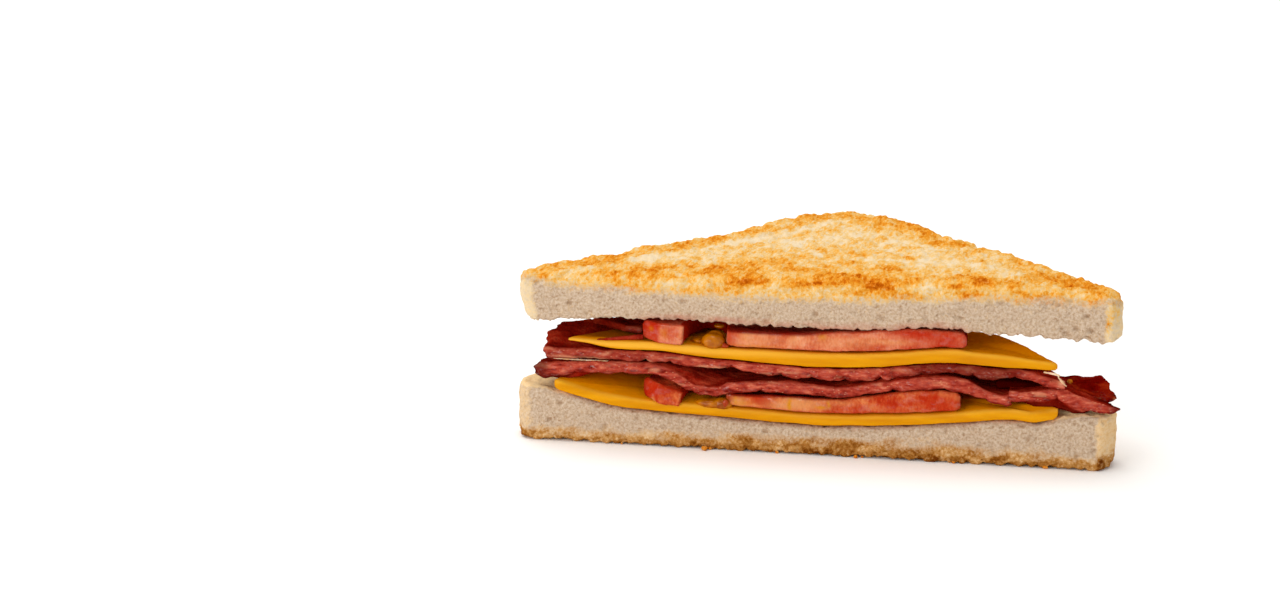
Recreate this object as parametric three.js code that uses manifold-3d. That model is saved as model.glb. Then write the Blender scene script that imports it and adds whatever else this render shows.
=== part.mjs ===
// One half of a toasted sandwich cut from corner to corner, lying flat on its lower slice.
// Millimetres, +Z up. The cut face looks along -Y and the far corner points along +Y.
import * as THREE from "three";
import { mergeVertices } from "three/addons/utils/BufferGeometryUtils.js";
import Module from "manifold-3d";

// ---- Driving dimensions ----
const SLICE_SIDE = 112; // side of the square slices of bread
const SLICE_CORNER = 9; // radius of their corners at the ends of the cut
const FAR_CORNER = 12; // and of the corner behind
const SLICE_WAIST = 2.4; // how far a side draws in between its corners
const LOWER_CUT = 7.3; // the cut passes this far in front of the lower slice's diagonal
const UPPER_CUT = 6; // and this far in front of the upper slice's
const UPPER_SHIFT = 0.7; // the upper slice has slid this far along the cut
const UPPER_TOP = 45; // height of the toasted top over the middle of the cut
const UPPER_TILT = 0.022; // rise of the top for each millimetre along the cut
const FAR_HUMP = 0.8; // the upper slice bulges up by this much behind
const FAR_FALL = 1; // before its far corner hangs down
const RIGHT_FALL = 2.5; // and its right corner hangs down by this much
const SHOULDER = 4.4; // radius of the top edge that the knife pressed down
const CRUST_EDGE = 3; // radius of the toasted edges behind it
const CRUMB_EDGE = 1.6; // radius of the edges that face the filling
const BASE_EDGE = 1.8; // radius of the edge that the sandwich stands on
const UPPER_CHEESE = { half: 62.6, x: -0.2 }; // half the length of a cheese slice along the cut
const LOWER_CHEESE = { half: 64.6, x: -1.6 };
const LOWER_CHEESE_THICKNESS = 2.6;
const CHEESE_CORNER = 3;
const CHEESE_EDGE = 0.7;
const CHEESE_LIFT = 2.2; // the upper cheese rises past the tomato on the right
const UPPER_TOMATO = { radius: 40.6, x: -1.9 }; // each tomato slice is half a disc
const LOWER_TOMATO = { radius: 39.9, x: -2.4 };
const TOMATO_EDGE = 1.1;
const SEED_CHAMBER = { x: -26.4, width: 10.6, depth: 13 }; // the chamber that the cut opened
const UPPER_RASHER = { from: -68, to: 63, end: 3 };
const LOWER_RASHER = { from: -70, to: 50 };
const TAIL_RASHER = { from: 50.5, to: 76.5, depth: 5, tip: 3 };
const CRISP_RASHER = { from: 46, to: 75, front: 5.4, shown: 12.5, height: 20.3, thickness: 1.5 };
const RASHER_DEPTH = 44; // how far the long rashers reach behind the cut
const RASHER_CURL = 4; // the upper rasher curls up past the left edge of the cheese
const RASHER_DROOP = { left: 0.7, right: 2 }; // and its ends hang down in front
const CHAMBER_DROOP = 1.2; // the lower rasher hangs into the open seed chamber
const TAIL_FOLD = 1.8; // the tail's back folds down onto the bread, right of the cheese
const SCRAP_RASHER = { from: -57, to: -43.4, depth: 4.4, thickness: 1.5 }; // a strip on the upper cheese
const GAP = 0.4; // clearance between pieces that rest on each other
const SLACK = 0.9; // how much further apart the fillings lie once behind the cut
const DEPTH = SLICE_SIDE * Math.SQRT2 / 2 + LOWER_CUT - FAR_CORNER * (Math.SQRT2 - 1);
const MIDDLE = { x: 0.5, y: DEPTH / 2 }; // middle of the whole, from the middle of the cut

const CRUMB = { color: 0xcdb9a5, roughness: 0.95 };
const TOAST = { color: 0xe9c98c, roughness: 0.9 };
const CHEESE = { color: 0xe2a50a, roughness: 0.45 };
const PINK_TOMATO = { color: 0xdc7d5f, roughness: 0.3 };
const RED_TOMATO = { color: 0xc84a32, roughness: 0.3 };
const BACON = { color: 0xa5463c, roughness: 0.45 };
const CRISP = { color: 0x5a0a05, roughness: 0.5 };

// ---- Heights along the cut: [distance from the middle of the cut, height] ----
const lowerSliceTop = line([-73, 14.1], [-68, 13.9], [-63, 12.7], [-56, 10.7], [-46, 9.2], [-28, 8.4],
  [2, 7.4], [24, 8.6], [38, 10.1], [50, 11.7], [58.5, 11.2], [65, 14.2]);
const lowerTomatoTop = line([-42, 17.9], [-35, 17.1], [-31, 15.3], [-22, 14.8], [-6, 15.2], [8, 14.9],
  [19, 16.9], [29, 18.5], [38, 18.4]);
const lowerBaconBase = line([-70, 16.7], [-66, 16.6], [-58, 18.2], [-50, 18.6], [-40, 18.5], [-35, 17.7],
  [-31, 16], [-26, 15.2], [-16, 15.4], [-4, 15.9], [8, 15.4], [16, 17], [24, 18.6], [34, 19.2], [40, 18.4],
  [45, 16.4], [50, 15.8]);
const lowerBaconThickness = line([-70, 3], [-65, 3.7], [-58, 2.9], [-45, 2.9], [-31, 2.6], [-26, 2.1],
  [-12, 2.7], [10, 2.3], [36, 3], [50, 2.2]);
const tailBase = line([50.5, 16.9], [57, 17.2], [62, 17.8], [66, 16.4], [71, 15], [76.5, 14.7]);
const tailThickness = line([50.5, 2.1], [57, 2.7], [66, 2.9], [73, 2.4], [76.5, 1.3]);
const upperBaconBase = line([-68, 22.5], [-60, 22.3], [-47, 22.4], [-41, 21.9], [-36, 22.1], [-30, 21.3],
  [-20, 21.4], [-10, 20.3], [0, 20.1], [10, 19.9], [19, 20.6], [27, 22.1], [35, 23.4], [42, 22.1],
  [50, 22.8], [63, 22.6]);
const upperCheeseBase = line([-61, 25.5], [-50, 24.9], [-38, 24.9], [-26, 23.9], [-12, 23.3], [2, 22.9],
  [18, 23.7], [29, 25.2], [36, 25.8], [43, 25.3], [61, 25.1]);
const upperCheeseThickness = line([-61, 1.7], [-50, 1.9], [-30, 2.5], [0, 3.5], [30, 3.4], [50, 3], [61, 2]);
const upperTomatoTop = line([-43, 32.6], [-34, 32.8], [-24, 31.4], [-6, 31.2], [4, 31.8], [14, 32.6],
  [30, 34], [39, 33.4]);
const upperSliceBase = line([-73, 31.4], [-60, 32.3], [-48, 33], [-32, 33.3], [-12, 32.8], [8, 32.9],
  [19, 33.5], [31, 34.5], [40, 33.8], [50, 33.4], [64, 33.2], [74, 32.7]);

// ---- Curves and surfaces ----

// A smooth curve through the stations, level beyond both ends.
function line(...stations) {
  const last = stations.length - 1;
  const slopes = stations.map((_, i) => {
    if (i === 0 || i === last) return 0;
    const [x0, z0] = stations[i - 1];
    const [x1, z1] = stations[i + 1];
    return (z1 - z0) / (x1 - x0);
  });
  return (x) => {
    if (x <= stations[0][0]) return stations[0][1];
    if (x >= stations[last][0]) return stations[last][1];
    const i = stations.findIndex(([at]) => at > x) - 1;
    const [x0, z0] = stations[i];
    const [x1, z1] = stations[i + 1];
    const span = x1 - x0;
    const t = (x - x0) / span;
    const rise = t * t * (3 - 2 * t);
    const leave = t * (1 - t) * (1 - t) * span * slopes[i];
    const arrive = t * t * (t - 1) * span * slopes[i + 1];
    return z0 + (z1 - z0) * rise + leave + arrive;
  };
}

const ease = THREE.MathUtils.smoothstep;

// Carries a curve along the cut round to the back. Every layer keeps its order everywhere,
// because each point reads its height at the same distance from the middle of the cut.
const ROUNDNESS = 1.2; // 1 would give a diamond and 2 a circle
function spread(curve) {
  return (x, y) => {
    const reach = (Math.abs(x) ** ROUNDNESS + Math.max(y, 0) ** ROUNDNESS) ** (1 / ROUNDNESS);
    if (reach === 0) return curve(0);
    const right = ease(x / reach, -1, 1);
    return curve(reach) * right + curve(-reach) * (1 - right);
  };
}

const SLACK_FROM_CUT = 5;
const LOWER_TOMATO_SAG = 1.1; // the lower tomato sinks by this share of the slack behind the cut
const slack = (y) => SLACK * ease(y, 0, SLACK_FROM_CUT);

// ---- Solids ----

function solidFrom(positions, faces) {
  const geometry = new THREE.BufferGeometry();
  geometry.setAttribute("position", new THREE.Float32BufferAttribute(positions, 3));
  geometry.setIndex(faces);
  geometry.computeVertexNormals();
  return geometry;
}

// The points of a closed outline, about step apart, with one point on every corner.
const SAME_POINT = 0.01;
const CURVE_DIVISIONS = 4;
function pointsOn(outline, step, cutStep) {
  const parts = outline.curves.filter((curve) => curve.getLength() > SAME_POINT);
  return parts.flatMap((curve) => {
    const onCut = Math.max(curve.getPoint(0).y, curve.getPoint(1).y) < SAME_POINT;
    const fewest = curve.isLineCurve ? 1 : CURVE_DIVISIONS;
    const divisions = Math.max(fewest, Math.round(curve.getLength() / (onCut ? cutStep : step)));
    return curve.getPoints(divisions).slice(0, -1);
  });
}

// A step of one millimetre out of the outline at every point, mitred at the corners.
function outwardSteps(points) {
  return points.map((point, i) => {
    const before = points[(i + points.length - 1) % points.length];
    const after = points[(i + 1) % points.length];
    const a = new THREE.Vector2(point.y - before.y, before.x - point.x).normalize();
    const b = new THREE.Vector2(after.y - point.y, point.x - after.x).normalize();
    const sum = a.add(b);
    return sum.multiplyScalar(2 / Math.max(sum.lengthSq(), 1));
  });
}

// A slab inside an outline, with its own height above and below every point and rounded rims.
const RIM_STEPS = 2;
function slab({ points, centre, top, bottom, topRim, bottomRim, topRings = 3, bottomRings = 3 }) {
  const out = outwardSteps(points);
  const innerRing = (share, height, rim) => points.map((p, i) => {
    const x = centre.x + (p.x - out[i].x * rim(p) - centre.x) * share;
    const y = centre.y + (p.y - out[i].y * rim(p) - centre.y) * share;
    return [x, y, height(x, y)];
  });
  const rimRing = (turn, height, rim, side) => points.map((p, i) => {
    const inset = rim(p) * (1 - Math.sin(turn));
    const x = p.x - out[i].x * inset;
    const y = p.y - out[i].y * inset;
    return [x, y, height(x, y) + side * rim(p) * (1 - Math.cos(turn))];
  });
  const quarter = (k) => k / RIM_STEPS * Math.PI / 2;
  const rings = [];
  for (let k = 1; k <= bottomRings; k++) rings.push(innerRing(k / bottomRings, bottom, bottomRim));
  for (let k = 1; k <= RIM_STEPS; k++) rings.push(rimRing(quarter(k), bottom, bottomRim, 1));
  for (let k = RIM_STEPS; k >= 1; k--) rings.push(rimRing(quarter(k), top, topRim, -1));
  for (let k = topRings; k >= 1; k--) rings.push(innerRing(k / topRings, top, topRim));

  const n = points.length;
  const faces = [];
  for (let k = 0; k + 1 < rings.length; k++) {
    for (let i = 0; i < n; i++) {
      const a = k * n + i;
      const b = k * n + (i + 1) % n;
      faces.push(a, b, b + n, a, b + n, a + n);
    }
  }
  const positions = rings.flat(2);
  positions.push(centre.x, centre.y, bottom(centre.x, centre.y));
  positions.push(centre.x, centre.y, top(centre.x, centre.y));
  const under = rings.length * n;
  const over = under + 1;
  const lastRing = under - n;
  for (let i = 0; i < n; i++) {
    const next = (i + 1) % n;
    faces.push(under, next, i);
    faces.push(over, lastRing + i, lastRing + next);
  }
  return solidFrom(positions, faces);
}

// A rasher: a strip from one end to the other, with its own front and back edge.
const ROW_CROWDING = 1.6; // above 1, there are more rows near the cut
function rasher({ from, to, steps, rows, front, back, top, bottom }) {
  const positions = [];
  for (const height of [bottom, top]) {
    for (let i = 0; i <= steps; i++) {
      for (let j = 0; j <= rows; j++) {
        const x = from + (to - from) * i / steps;
        const y = THREE.MathUtils.lerp(front(x), back(x), (j / rows) ** ROW_CROWDING);
        positions.push(x, y, height(x, y));
      }
    }
  }
  const faces = [];
  const at = (side, i, j) => (side * (steps + 1) + i) * (rows + 1) + j;
  const quad = (a, b, c, d) => faces.push(a, b, c, a, c, d);
  for (let i = 0; i < steps; i++) {
    for (let j = 0; j < rows; j++) {
      quad(at(1, i, j), at(1, i + 1, j), at(1, i + 1, j + 1), at(1, i, j + 1));
      quad(at(0, i, j), at(0, i, j + 1), at(0, i + 1, j + 1), at(0, i + 1, j));
    }
    quad(at(0, i, 0), at(0, i + 1, 0), at(1, i + 1, 0), at(1, i, 0));
    quad(at(0, i + 1, rows), at(0, i, rows), at(1, i, rows), at(1, i + 1, rows));
  }
  for (let j = 0; j < rows; j++) {
    quad(at(0, 0, j + 1), at(0, 0, j), at(1, 0, j), at(1, 0, j + 1));
    quad(at(0, steps, j), at(0, steps, j + 1), at(1, steps, j + 1), at(1, steps, j));
  }
  return solidFrom(positions, faces);
}

const wasm = await Module();
wasm.setup();

function manifoldOf(geometry) {
  const bare = geometry.clone();
  bare.deleteAttribute("normal");
  bare.deleteAttribute("uv");
  const merged = mergeVertices(bare);
  return new wasm.Manifold(new wasm.Mesh({
    numProp: 3,
    vertProperties: merged.attributes.position.array,
    triVerts: new Uint32Array(merged.index.array),
  }));
}

function cutAway(body, tool) {
  const mesh = manifoldOf(body).subtract(manifoldOf(tool)).getMesh();
  return solidFrom(Array.from(mesh.vertProperties), Array.from(mesh.triVerts));
}

// ---- Bread ----

// A square slice with round corners, seen from above and cut a little in front of its diagonal.
function sliceOutline(cut) {
  const reach = SLICE_SIDE * Math.SQRT2 / 2;
  const waist = reach / 2 - SLICE_WAIST * Math.SQRT2;
  const endCentre = reach - SLICE_CORNER * Math.SQRT2;
  const endHalf = SLICE_CORNER / Math.SQRT2;
  const farCentre = cut + reach - FAR_CORNER * Math.SQRT2;
  const farHalf = FAR_CORNER / Math.SQRT2;
  const start = -Math.min(Math.PI / 4, Math.asin(cut / SLICE_CORNER));
  const straightEnd = cut > endHalf;
  const cutEnd = straightEnd ? reach - cut : endCentre + SLICE_CORNER * Math.cos(start);
  const outline = new THREE.Shape();
  outline.moveTo(-cutEnd, 0);
  outline.lineTo(cutEnd, 0);
  if (straightEnd) outline.lineTo(endCentre + endHalf, cut - endHalf);
  outline.absarc(endCentre, cut, SLICE_CORNER, start, Math.PI / 4);
  outline.quadraticCurveTo(waist, cut + waist, farHalf, farCentre + farHalf);
  outline.absarc(0, farCentre, FAR_CORNER, Math.PI / 4, Math.PI * 3 / 4);
  outline.quadraticCurveTo(-waist, cut + waist, -endCentre - endHalf, cut + endHalf);
  outline.absarc(-endCentre, cut, SLICE_CORNER, Math.PI * 3 / 4, Math.PI - start);
  if (straightEnd) outline.lineTo(-cutEnd, 0);
  return outline;
}

const SLICE_STEP = 9;
const SLICE_CUT_STEP = 5;
const SLICE_CENTRE = new THREE.Vector2(0, 26);
const lowerSliceTopAt = spread(lowerSliceTop);

function lowerSlice() {
  return slab({
    points: pointsOn(sliceOutline(LOWER_CUT), SLICE_STEP, SLICE_CUT_STEP),
    centre: SLICE_CENTRE,
    top: lowerSliceTopAt,
    bottom: () => 0,
    topRim: () => CRUMB_EDGE,
    bottomRim: () => BASE_EDGE,
    topRings: 7,
    bottomRings: 1,
  });
}

// The shoulder along the cut runs out into a small radius at both ends.
const SHOULDER_RUN_OUT = 9;
const SHOULDER_END = 73;
const shoulderAt = (x) => {
  const share = ease(SHOULDER_END - Math.abs(x), 0, SHOULDER_RUN_OUT);
  return THREE.MathUtils.lerp(CRUMB_EDGE, SHOULDER, share);
};
const HUMP_FROM = DEPTH * 0.55;
const HUMP_TOP = DEPTH * 0.8;
const RIGHT_FALL_ALONG = { from: SLICE_SIDE * 0.4, to: SLICE_SIDE * 0.67 };
const behind = (y) => FAR_HUMP * ease(y, HUMP_FROM, HUMP_TOP) - FAR_FALL * ease(y, HUMP_TOP, DEPTH);
const rightFall = (x) => RIGHT_FALL * ease(x, RIGHT_FALL_ALONG.from, RIGHT_FALL_ALONG.to);
const upperSliceTopAt = (x, y) => UPPER_TOP + UPPER_TILT * x + behind(y) - rightFall(x);

function upperSlice() {
  const geometry = slab({
    points: pointsOn(sliceOutline(UPPER_CUT), SLICE_STEP, SLICE_CUT_STEP),
    centre: SLICE_CENTRE,
    top: upperSliceTopAt,
    bottom: spread(upperSliceBase),
    topRim: (p) => p.y > SAME_POINT ? CRUST_EDGE : shoulderAt(p.x),
    bottomRim: () => CRUMB_EDGE,
    topRings: 3,
    bottomRings: 5,
  });
  return geometry.translate(UPPER_SHIFT, 0, 0);
}

// ---- Cheese ----

// Half of a square slice of cheese: a right-angled triangle with its long side on the cut.
const CHEESE_TIP = 0.9; // size of its sharp corners, as a share of the round one behind
function cheeseOutline({ half, x }) {
  const tip = CHEESE_CORNER * CHEESE_TIP;
  const farCentre = half - CHEESE_CORNER * Math.SQRT2;
  const farHalf = CHEESE_CORNER / Math.SQRT2;
  const outline = new THREE.Shape();
  outline.moveTo(x - half + tip, 0);
  outline.lineTo(x + half - tip, 0);
  outline.quadraticCurveTo(x + half, 0, x + half - tip, tip);
  outline.lineTo(x + farHalf, farCentre + farHalf);
  outline.absarc(x, farCentre, CHEESE_CORNER, Math.PI / 4, Math.PI * 3 / 4);
  outline.lineTo(x - half + tip, tip);
  outline.quadraticCurveTo(x - half, 0, x - half + tip, 0);
  return outline;
}

const CHEESE_STEP = 10;
const CHEESE_CUT_STEP = 4.6;
const CHEESE_CENTRE = new THREE.Vector2(0, 20);

function cheese(size, bottom, top) {
  return slab({
    points: pointsOn(cheeseOutline(size), CHEESE_STEP, CHEESE_CUT_STEP),
    centre: CHEESE_CENTRE,
    top,
    bottom,
    topRim: () => CHEESE_EDGE,
    bottomRim: () => CHEESE_EDGE,
  });
}

const lowerCheeseFloor = (x, y) => lowerSliceTopAt(x, y) + GAP + slack(y);
const lowerCheeseTop = (x, y) => lowerCheeseFloor(x, y) + LOWER_CHEESE_THICKNESS;

// It begins to rise just outside the tomato's edge, and least near the cut.
const CHEESE_RISE = { from: UPPER_TOMATO.radius + 2.4, to: UPPER_TOMATO.radius + 9.4 };
const CHEESE_RISE_BEHIND = { from: 1, to: 15 };
const cheeseLift = (x, y) => {
  const pastTomato = ease(Math.hypot(x, y), CHEESE_RISE.from, CHEESE_RISE.to);
  const behindCut = ease(y, CHEESE_RISE_BEHIND.from, CHEESE_RISE_BEHIND.to);
  return x > 0 ? CHEESE_LIFT * pastTomato * behindCut : 0;
};
const upperCheeseLine = spread(upperCheeseBase);
const upperCheeseBody = spread(upperCheeseThickness);
const upperCheeseFloor = (x, y) => upperCheeseLine(x, y) + cheeseLift(x, y);
const upperCheeseTop = (x, y) => upperCheeseFloor(x, y) + upperCheeseBody(x, y);

// ---- Tomato ----

function tomatoOutline({ radius, x }) {
  const outline = new THREE.Shape();
  outline.moveTo(x - radius, 0);
  outline.lineTo(x + radius, 0);
  outline.absarc(x, 0, radius, 0, Math.PI);
  return outline;
}

const TOMATO_STEP = 8;
const TOMATO_CUT_STEP = 5;
const TOMATO_CENTRE_Y = 16;
const CHAMBER_SIDES = 24;
const CHAMBER_TALL = 60; // taller than any slice, so the chamber goes right through
const LOWER_TOMATO_RINGS = 5; // the lower slice bends more, so it is made of more rings
const UPPER_TOMATO_RINGS = 3;

function tomato(size, bottom, top, rings) {
  const halfDisc = slab({
    points: pointsOn(tomatoOutline(size), TOMATO_STEP, TOMATO_CUT_STEP),
    centre: new THREE.Vector2(size.x, TOMATO_CENTRE_Y),
    top,
    bottom,
    topRim: () => TOMATO_EDGE,
    bottomRim: () => TOMATO_EDGE,
    topRings: rings,
    bottomRings: rings,
  });
  const chamber = new THREE.CylinderGeometry(1, 1, CHAMBER_TALL, CHAMBER_SIDES);
  chamber.rotateX(Math.PI / 2);
  chamber.scale(SEED_CHAMBER.width / 2, SEED_CHAMBER.depth, 1);
  chamber.translate(SEED_CHAMBER.x, 0, CHAMBER_TALL / 3);
  return cutAway(halfDisc, chamber);
}

const lowerTomatoTopAt = spread(lowerTomatoTop);
const upperTomatoTopAt = spread(upperTomatoTop);

const lowerTomato = () => tomato(
  LOWER_TOMATO,
  (x, y) => lowerCheeseTop(x, y) + GAP + slack(y) / 2,
  (x, y) => lowerTomatoTopAt(x, y) - LOWER_TOMATO_SAG * slack(y),
  LOWER_TOMATO_RINGS,
);

const upperTomato = () => tomato(
  UPPER_TOMATO,
  (x, y) => upperCheeseTop(x, y) + GAP + slack(y) / 2,
  (x, y) => upperTomatoTopAt(x, y) - slack(y) / 2,
  UPPER_TOMATO_RINGS,
);

// ---- Bacon ----

// The back edges of the long rashers wave, and follow the slanting sides of the bread.
const BACK_SLOPE = 0.86;
const BACK_REACH = 78;
const BACK_WAVE = 1.6;
const BACK_WAVE_LENGTH = 17;
const rasherBack = (x) => {
  const slanting = (BACK_REACH - Math.abs(x)) * BACK_SLOPE;
  return Math.min(RASHER_DEPTH, slanting) + BACK_WAVE * Math.sin(x * 2 * Math.PI / BACK_WAVE_LENGTH);
};

const lowerBaconFloor = spread(lowerBaconBase);
const lowerBaconBody = spread(lowerBaconThickness);

const CHAMBER_DROOP_EDGE = 2; // it is full this far inside the chamber's ends
const CHAMBER_DROOP_DEPTH = 5; // and fades out this far behind the cut
const chamberDroop = (x, y) => {
  const inside = ease(SEED_CHAMBER.width / 2 - Math.abs(x - SEED_CHAMBER.x), 0, CHAMBER_DROOP_EDGE);
  return CHAMBER_DROOP * inside * (1 - ease(y, 0, CHAMBER_DROOP_DEPTH));
};

const lowerBacon = () => rasher({
  ...LOWER_RASHER,
  steps: 44,
  rows: 4,
  front: () => 0,
  back: rasherBack,
  top: (x, y) => lowerBaconFloor(x, y) + lowerBaconBody(x, y) - chamberDroop(x, y),
  bottom: (x, y) => lowerBaconFloor(x, y) + slack(y) - chamberDroop(x, y),
});

const upperBaconFloor = spread(upperBaconBase);
const CURL_REACH = { from: 66, to: 75 }; // how far from the middle of the cut it curls
const CURL_BEHIND = { from: 3, to: 12 };
const curl = (x, y) => {
  const along = ease(y - x, CURL_REACH.from, CURL_REACH.to);
  return x < 0 ? RASHER_CURL * along * ease(y, CURL_BEHIND.from, CURL_BEHIND.to) : 0;
};
const LEFT_DROOP = { from: -56, to: -66 };
const RIGHT_DROOP = { from: 53, to: 62 };
const DROOP_FADE = { from: 1, to: 7 }; // the hanging fades out this far behind the cut
const droop = (x, y) => {
  const left = RASHER_DROOP.left * (1 - ease(x, LEFT_DROOP.to, LEFT_DROOP.from));
  const right = RASHER_DROOP.right * ease(x, RIGHT_DROOP.from, RIGHT_DROOP.to);
  return (left + right) * (1 - ease(y, DROOP_FADE.from, DROOP_FADE.to));
};
const NARROWS_FROM = 48; // the rasher's back edge slants in from here to its right end
const NARROWING = 1.5;
const upperRasherBack = (x) => {
  const narrowing = ease(x, NARROWS_FROM, UPPER_RASHER.to) ** NARROWING;
  return THREE.MathUtils.lerp(rasherBack(x), UPPER_RASHER.end, narrowing);
};

const upperBacon = () => rasher({
  ...UPPER_RASHER,
  steps: 48,
  rows: 4,
  front: () => 0,
  back: upperRasherBack,
  top: (x, y) => upperCheeseLine(x, y) - GAP - slack(y) + curl(x, y) - droop(x, y),
  bottom: (x, y) => upperBaconFloor(x, y) + curl(x, y) - droop(x, y),
});

const TAIL_NARROWS_FROM = 66;
const TAIL_FOLD_ALONG = { from: 62.4, full: 64.4, fades: 66.5, to: 70 };
const TAIL_FOLD_BEHIND = { from: 0.5, to: 1.8 };
const tailFold = (x, y) => {
  const rising = ease(x, TAIL_FOLD_ALONG.from, TAIL_FOLD_ALONG.full);
  const fading = 1 - ease(x, TAIL_FOLD_ALONG.fades, TAIL_FOLD_ALONG.to);
  return TAIL_FOLD * rising * fading * ease(y, TAIL_FOLD_BEHIND.from, TAIL_FOLD_BEHIND.to);
};
const tailBack = (x) => {
  const narrowing = ease(x, TAIL_NARROWS_FROM, TAIL_RASHER.to);
  return THREE.MathUtils.lerp(TAIL_RASHER.depth, TAIL_RASHER.tip, narrowing);
};

const tailBacon = () => rasher({
  ...TAIL_RASHER,
  steps: 14,
  rows: 2,
  front: () => 0,
  back: tailBack,
  top: (x) => tailBase(x) + tailThickness(x),
  bottom: (x, y) => tailBase(x) - tailFold(x, y),
});

// The crisp rasher lies level behind and falls away in front, most at the right.
const CRISP_SLOPE = { left: 0.15, right: 0.5, from: 60, to: 72 };
const CRISP_RIPPLE = 0.35;
const CRISP_RIPPLE_STEP = 3;
const crispFall = (x, y) => {
  const toRight = ease(x, CRISP_SLOPE.from, CRISP_SLOPE.to);
  const slope = THREE.MathUtils.lerp(CRISP_SLOPE.left, CRISP_SLOPE.right, toRight);
  return slope * Math.max(CRISP_RASHER.shown - y, 0);
};
const crispRipple = (x, y) => CRISP_RIPPLE * Math.sin((x - y) / CRISP_RIPPLE_STEP);
const crispMiddle = (x, y) => CRISP_RASHER.height - crispFall(x, y) + crispRipple(x, y);
const CRISP_BACK = { widensBefore: 60, narrowsAfter: 71, slope: 1.2 };
const crispBack = (x) => {
  const wider = Math.max(CRISP_BACK.widensBefore - x, 0);
  const narrower = Math.max(x - CRISP_BACK.narrowsAfter, 0);
  return CRISP_RASHER.shown + CRISP_BACK.slope * (wider - narrower);
};

const crispBacon = () => rasher({
  ...CRISP_RASHER,
  steps: 14,
  rows: 6,
  front: () => CRISP_RASHER.front,
  back: crispBack,
  top: (x, y) => crispMiddle(x, y) + CRISP_RASHER.thickness / 2,
  bottom: (x, y) => crispMiddle(x, y) - CRISP_RASHER.thickness / 2,
});

// A short strip slants back over the upper cheese, to the left of the tomato.
const scrapFront = line([-57, 11.6], [-50, 8.2], [-43.4, 5.2]);
const scrapFloor = (x, y) => upperCheeseTop(x, y) + GAP + slack(y) / 2;

const scrapBacon = () => rasher({
  ...SCRAP_RASHER,
  steps: 6,
  rows: 2,
  front: scrapFront,
  back: (x) => scrapFront(x) + SCRAP_RASHER.depth,
  top: (x, y) => scrapFloor(x, y) + SCRAP_RASHER.thickness,
  bottom: scrapFloor,
});

// ---- The sandwich, from the bottom up ----

const sandwich = new THREE.Group();
const pile = new THREE.Group();
pile.position.set(-MIDDLE.x, -MIDDLE.y, 0);
sandwich.add(pile);

function addPiece(name, geometry, finish) {
  const mesh = new THREE.Mesh(geometry, new THREE.MeshStandardMaterial({ ...finish, metalness: 0 }));
  mesh.name = name;
  pile.add(mesh);
}

addPiece("bottom_toast", lowerSlice(), CRUMB);
addPiece("lower_cheese", cheese(LOWER_CHEESE, lowerCheeseFloor, lowerCheeseTop), CHEESE);
addPiece("lower_tomato", lowerTomato(), RED_TOMATO);
addPiece("lower_bacon", lowerBacon(), BACON);
addPiece("tail_bacon", tailBacon(), BACON);
addPiece("crisp_bacon", crispBacon(), CRISP);
addPiece("upper_bacon", upperBacon(), BACON);
addPiece("upper_cheese", cheese(UPPER_CHEESE, upperCheeseFloor, upperCheeseTop), CHEESE);
addPiece("scrap_bacon", scrapBacon(), BACON);
addPiece("upper_tomato", upperTomato(), PINK_TOMATO);
addPiece("top_toast", upperSlice(), TOAST);

export default sandwich;
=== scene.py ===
"""The looks of a toasted sandwich half: bread, cheese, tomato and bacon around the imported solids.

Each layer is its CAD solid, remeshed evenly and then shaped: pores in the crumb, grains in the toast,
lobes and fibres in the bacon. Shaping works in millimetres, with x along the cut from its middle, y in
from the cut face and z up from the table. A layer's first move makes a new array of points, so its x, y
and z stay the places from before, for the moves and marks that follow; rough reads the moved points.
"""

import math

import bmesh
import bpy
import numpy as np
from mathutils import Matrix, Vector, noise


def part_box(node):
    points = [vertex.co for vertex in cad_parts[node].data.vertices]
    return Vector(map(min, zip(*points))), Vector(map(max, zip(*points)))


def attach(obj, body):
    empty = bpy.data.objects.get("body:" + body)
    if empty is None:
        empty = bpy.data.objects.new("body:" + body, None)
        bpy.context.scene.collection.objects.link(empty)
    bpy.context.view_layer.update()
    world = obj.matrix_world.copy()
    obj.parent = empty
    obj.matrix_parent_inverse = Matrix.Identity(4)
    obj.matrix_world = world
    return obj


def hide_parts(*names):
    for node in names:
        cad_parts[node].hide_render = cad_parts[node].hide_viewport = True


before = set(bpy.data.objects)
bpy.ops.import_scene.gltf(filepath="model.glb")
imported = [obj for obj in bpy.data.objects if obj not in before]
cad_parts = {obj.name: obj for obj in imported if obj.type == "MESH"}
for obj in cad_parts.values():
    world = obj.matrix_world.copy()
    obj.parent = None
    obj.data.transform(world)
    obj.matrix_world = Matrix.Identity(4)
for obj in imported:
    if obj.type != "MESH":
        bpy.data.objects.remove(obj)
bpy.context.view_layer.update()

MM = 0.001
LOW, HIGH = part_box("bottom_toast")
CUT_MIDDLE = Vector(((LOW.x + HIGH.x) / 2, LOW.y, 0))


# ---- Places and numbers ----


def at(x, y, z):
    """A point of the sandwich, from millimetres along the cut, in from it and up."""
    return CUT_MIDDLE + Vector((x, y, z)) * MM


def ease(values, start, end):
    """0 before start, 1 after end and smooth between them; end may be the smaller one."""
    t = np.clip((values - start) / (end - start), 0, 1)
    return t * t * (3 - 2 * t)


def hump(values, middle, width):
    """1 at the middle, fading to 0 about two widths away."""
    return np.exp(-(((values - middle) / width) ** 2))


def rough(points, size, seed=0.0):
    """Smooth noise from about -1 to 1 at every point; size is its grain in mm, or one for each axis."""
    spots = points / np.array(size) + seed
    return np.array([noise.noise(spot) for spot in spots.tolist()])


SCRAMBLE = np.array([12.9898, 78.233, 37.719])  # unrelated numbers, which mix up a cell's place
SCRAMBLE_SCALE = 43758.5453


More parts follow.
